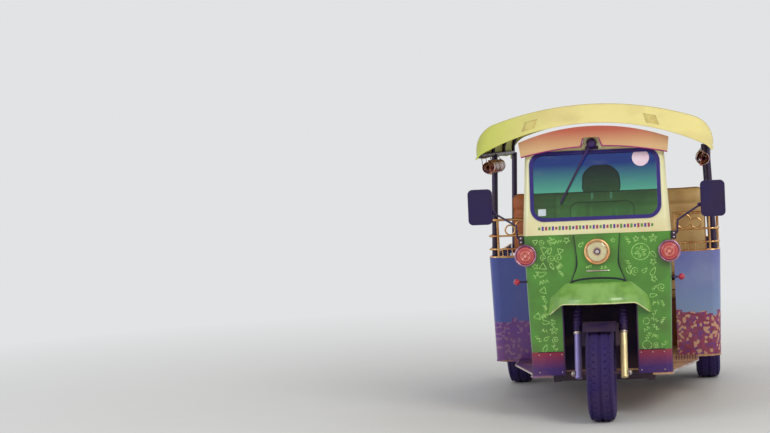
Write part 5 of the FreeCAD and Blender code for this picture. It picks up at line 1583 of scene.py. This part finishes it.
# Lamps: name, place, the height that they point at, width, height, watts, colour
LAMPS = (
    ("key", (5.5, -8.0, 6.5), 0.9, 4, 4, 420, (1, 0.97, 0.92)),
    ("fill", (-7.0, -6.0, 4.0), 0.9, 4, 4, 160, (0.93, 0.96, 1)),
    ("back", (1.0, 8.0, 6.0), 1.0, 5, 3, 200, (1, 1, 1)),
)


def seen_ray(tree):
    """1 for a ray from the camera, in gloss or through glass; 0 for one that only lights."""
    path = node(tree, "LightPath").outputs
    either = maths(tree, "MAXIMUM", path["Is Camera Ray"], path["Is Glossy Ray"])
    return maths(tree, "MAXIMUM", either, path["Is Transmission Ray"])


def make_world():
    """A soft dome of light, seen by the camera, in gloss and through glass as a plain pale colour."""
    world = bpy.data.worlds.new("studio")
    world.use_nodes = True
    tree = world.node_tree
    tree.nodes.clear()
    dome = node(tree, "Background", [("Color", (1.0, 1.0, 1.0)), ("Strength", DOME_LIGHT)])
    shown = node(tree, "Background", [("Color", BACKGROUND), ("Strength", 1.0)])
    both = node(tree, "MixShader", [(0, seen_ray(tree)), (1, dome.outputs[0]), (2, shown.outputs[0])])
    node(tree, "OutputWorld", [("Surface", both.outputs[0])])
    bpy.context.scene.world = world


def make_lamps():
    for name, place, target_z, width, height, watts, colour in LAMPS:
        data = bpy.data.lights.new(name, "AREA")
        data.shape = "RECTANGLE"
        data.size, data.size_y = width, height
        data.energy = watts
        data.color = colour
        lamp = bpy.data.objects.new(name, data)
        lamp.location = place
        ahead = Vector((0, 0, target_z)) - Vector(place)
        lamp.rotation_euler = ahead.to_track_quat("-Z", "Y").to_euler()
        bpy.context.scene.collection.objects.link(lamp)


def make_floor():
    """A flat sheet at ground level, matt near the vehicle and fading into the background far from it."""
    corners = FLOOR_REACH * np.array([[(-1, -1, 0), (1, -1, 0)], [(-1, 1, 0), (1, 1, 0)]], float)
    mesh = make_mesh("studio_floor", surface(corners), closed=False)
    floor = bpy.data.objects.new("studio_floor", mesh)
    bpy.context.scene.collection.objects.link(floor)
    material, tree, shader = new_material("studio_floor", [("Roughness", 0.9)])
    place = object_place(tree)
    speckle = noise(tree, place, 3.0, 2.0)
    put(tree, shader.inputs["Base Color"], mix(tree, speckle, linear(216, 216, 214), linear(220, 220, 218)))
    far = node(tree, "VectorMath", [(0, place)], operation="LENGTH").outputs["Value"]
    fade = maths(tree, "MULTIPLY", spread(tree, far, FADE_START, FADE_END), seen_ray(tree))
    glow = node(tree, "Emission", [("Color", BACKGROUND), ("Strength", 1.0)])
    both = node(tree, "MixShader", [(0, fade), (1, shader.outputs[0]), (2, glow.outputs[0])])
    put(tree, tree.nodes["Material Output"].inputs["Surface"], both.outputs[0])
    mesh.materials.append(material)


make_floor()
make_world()
make_lamps()
bpy.context.scene.view_settings.view_transform = "Standard"
make_camera()
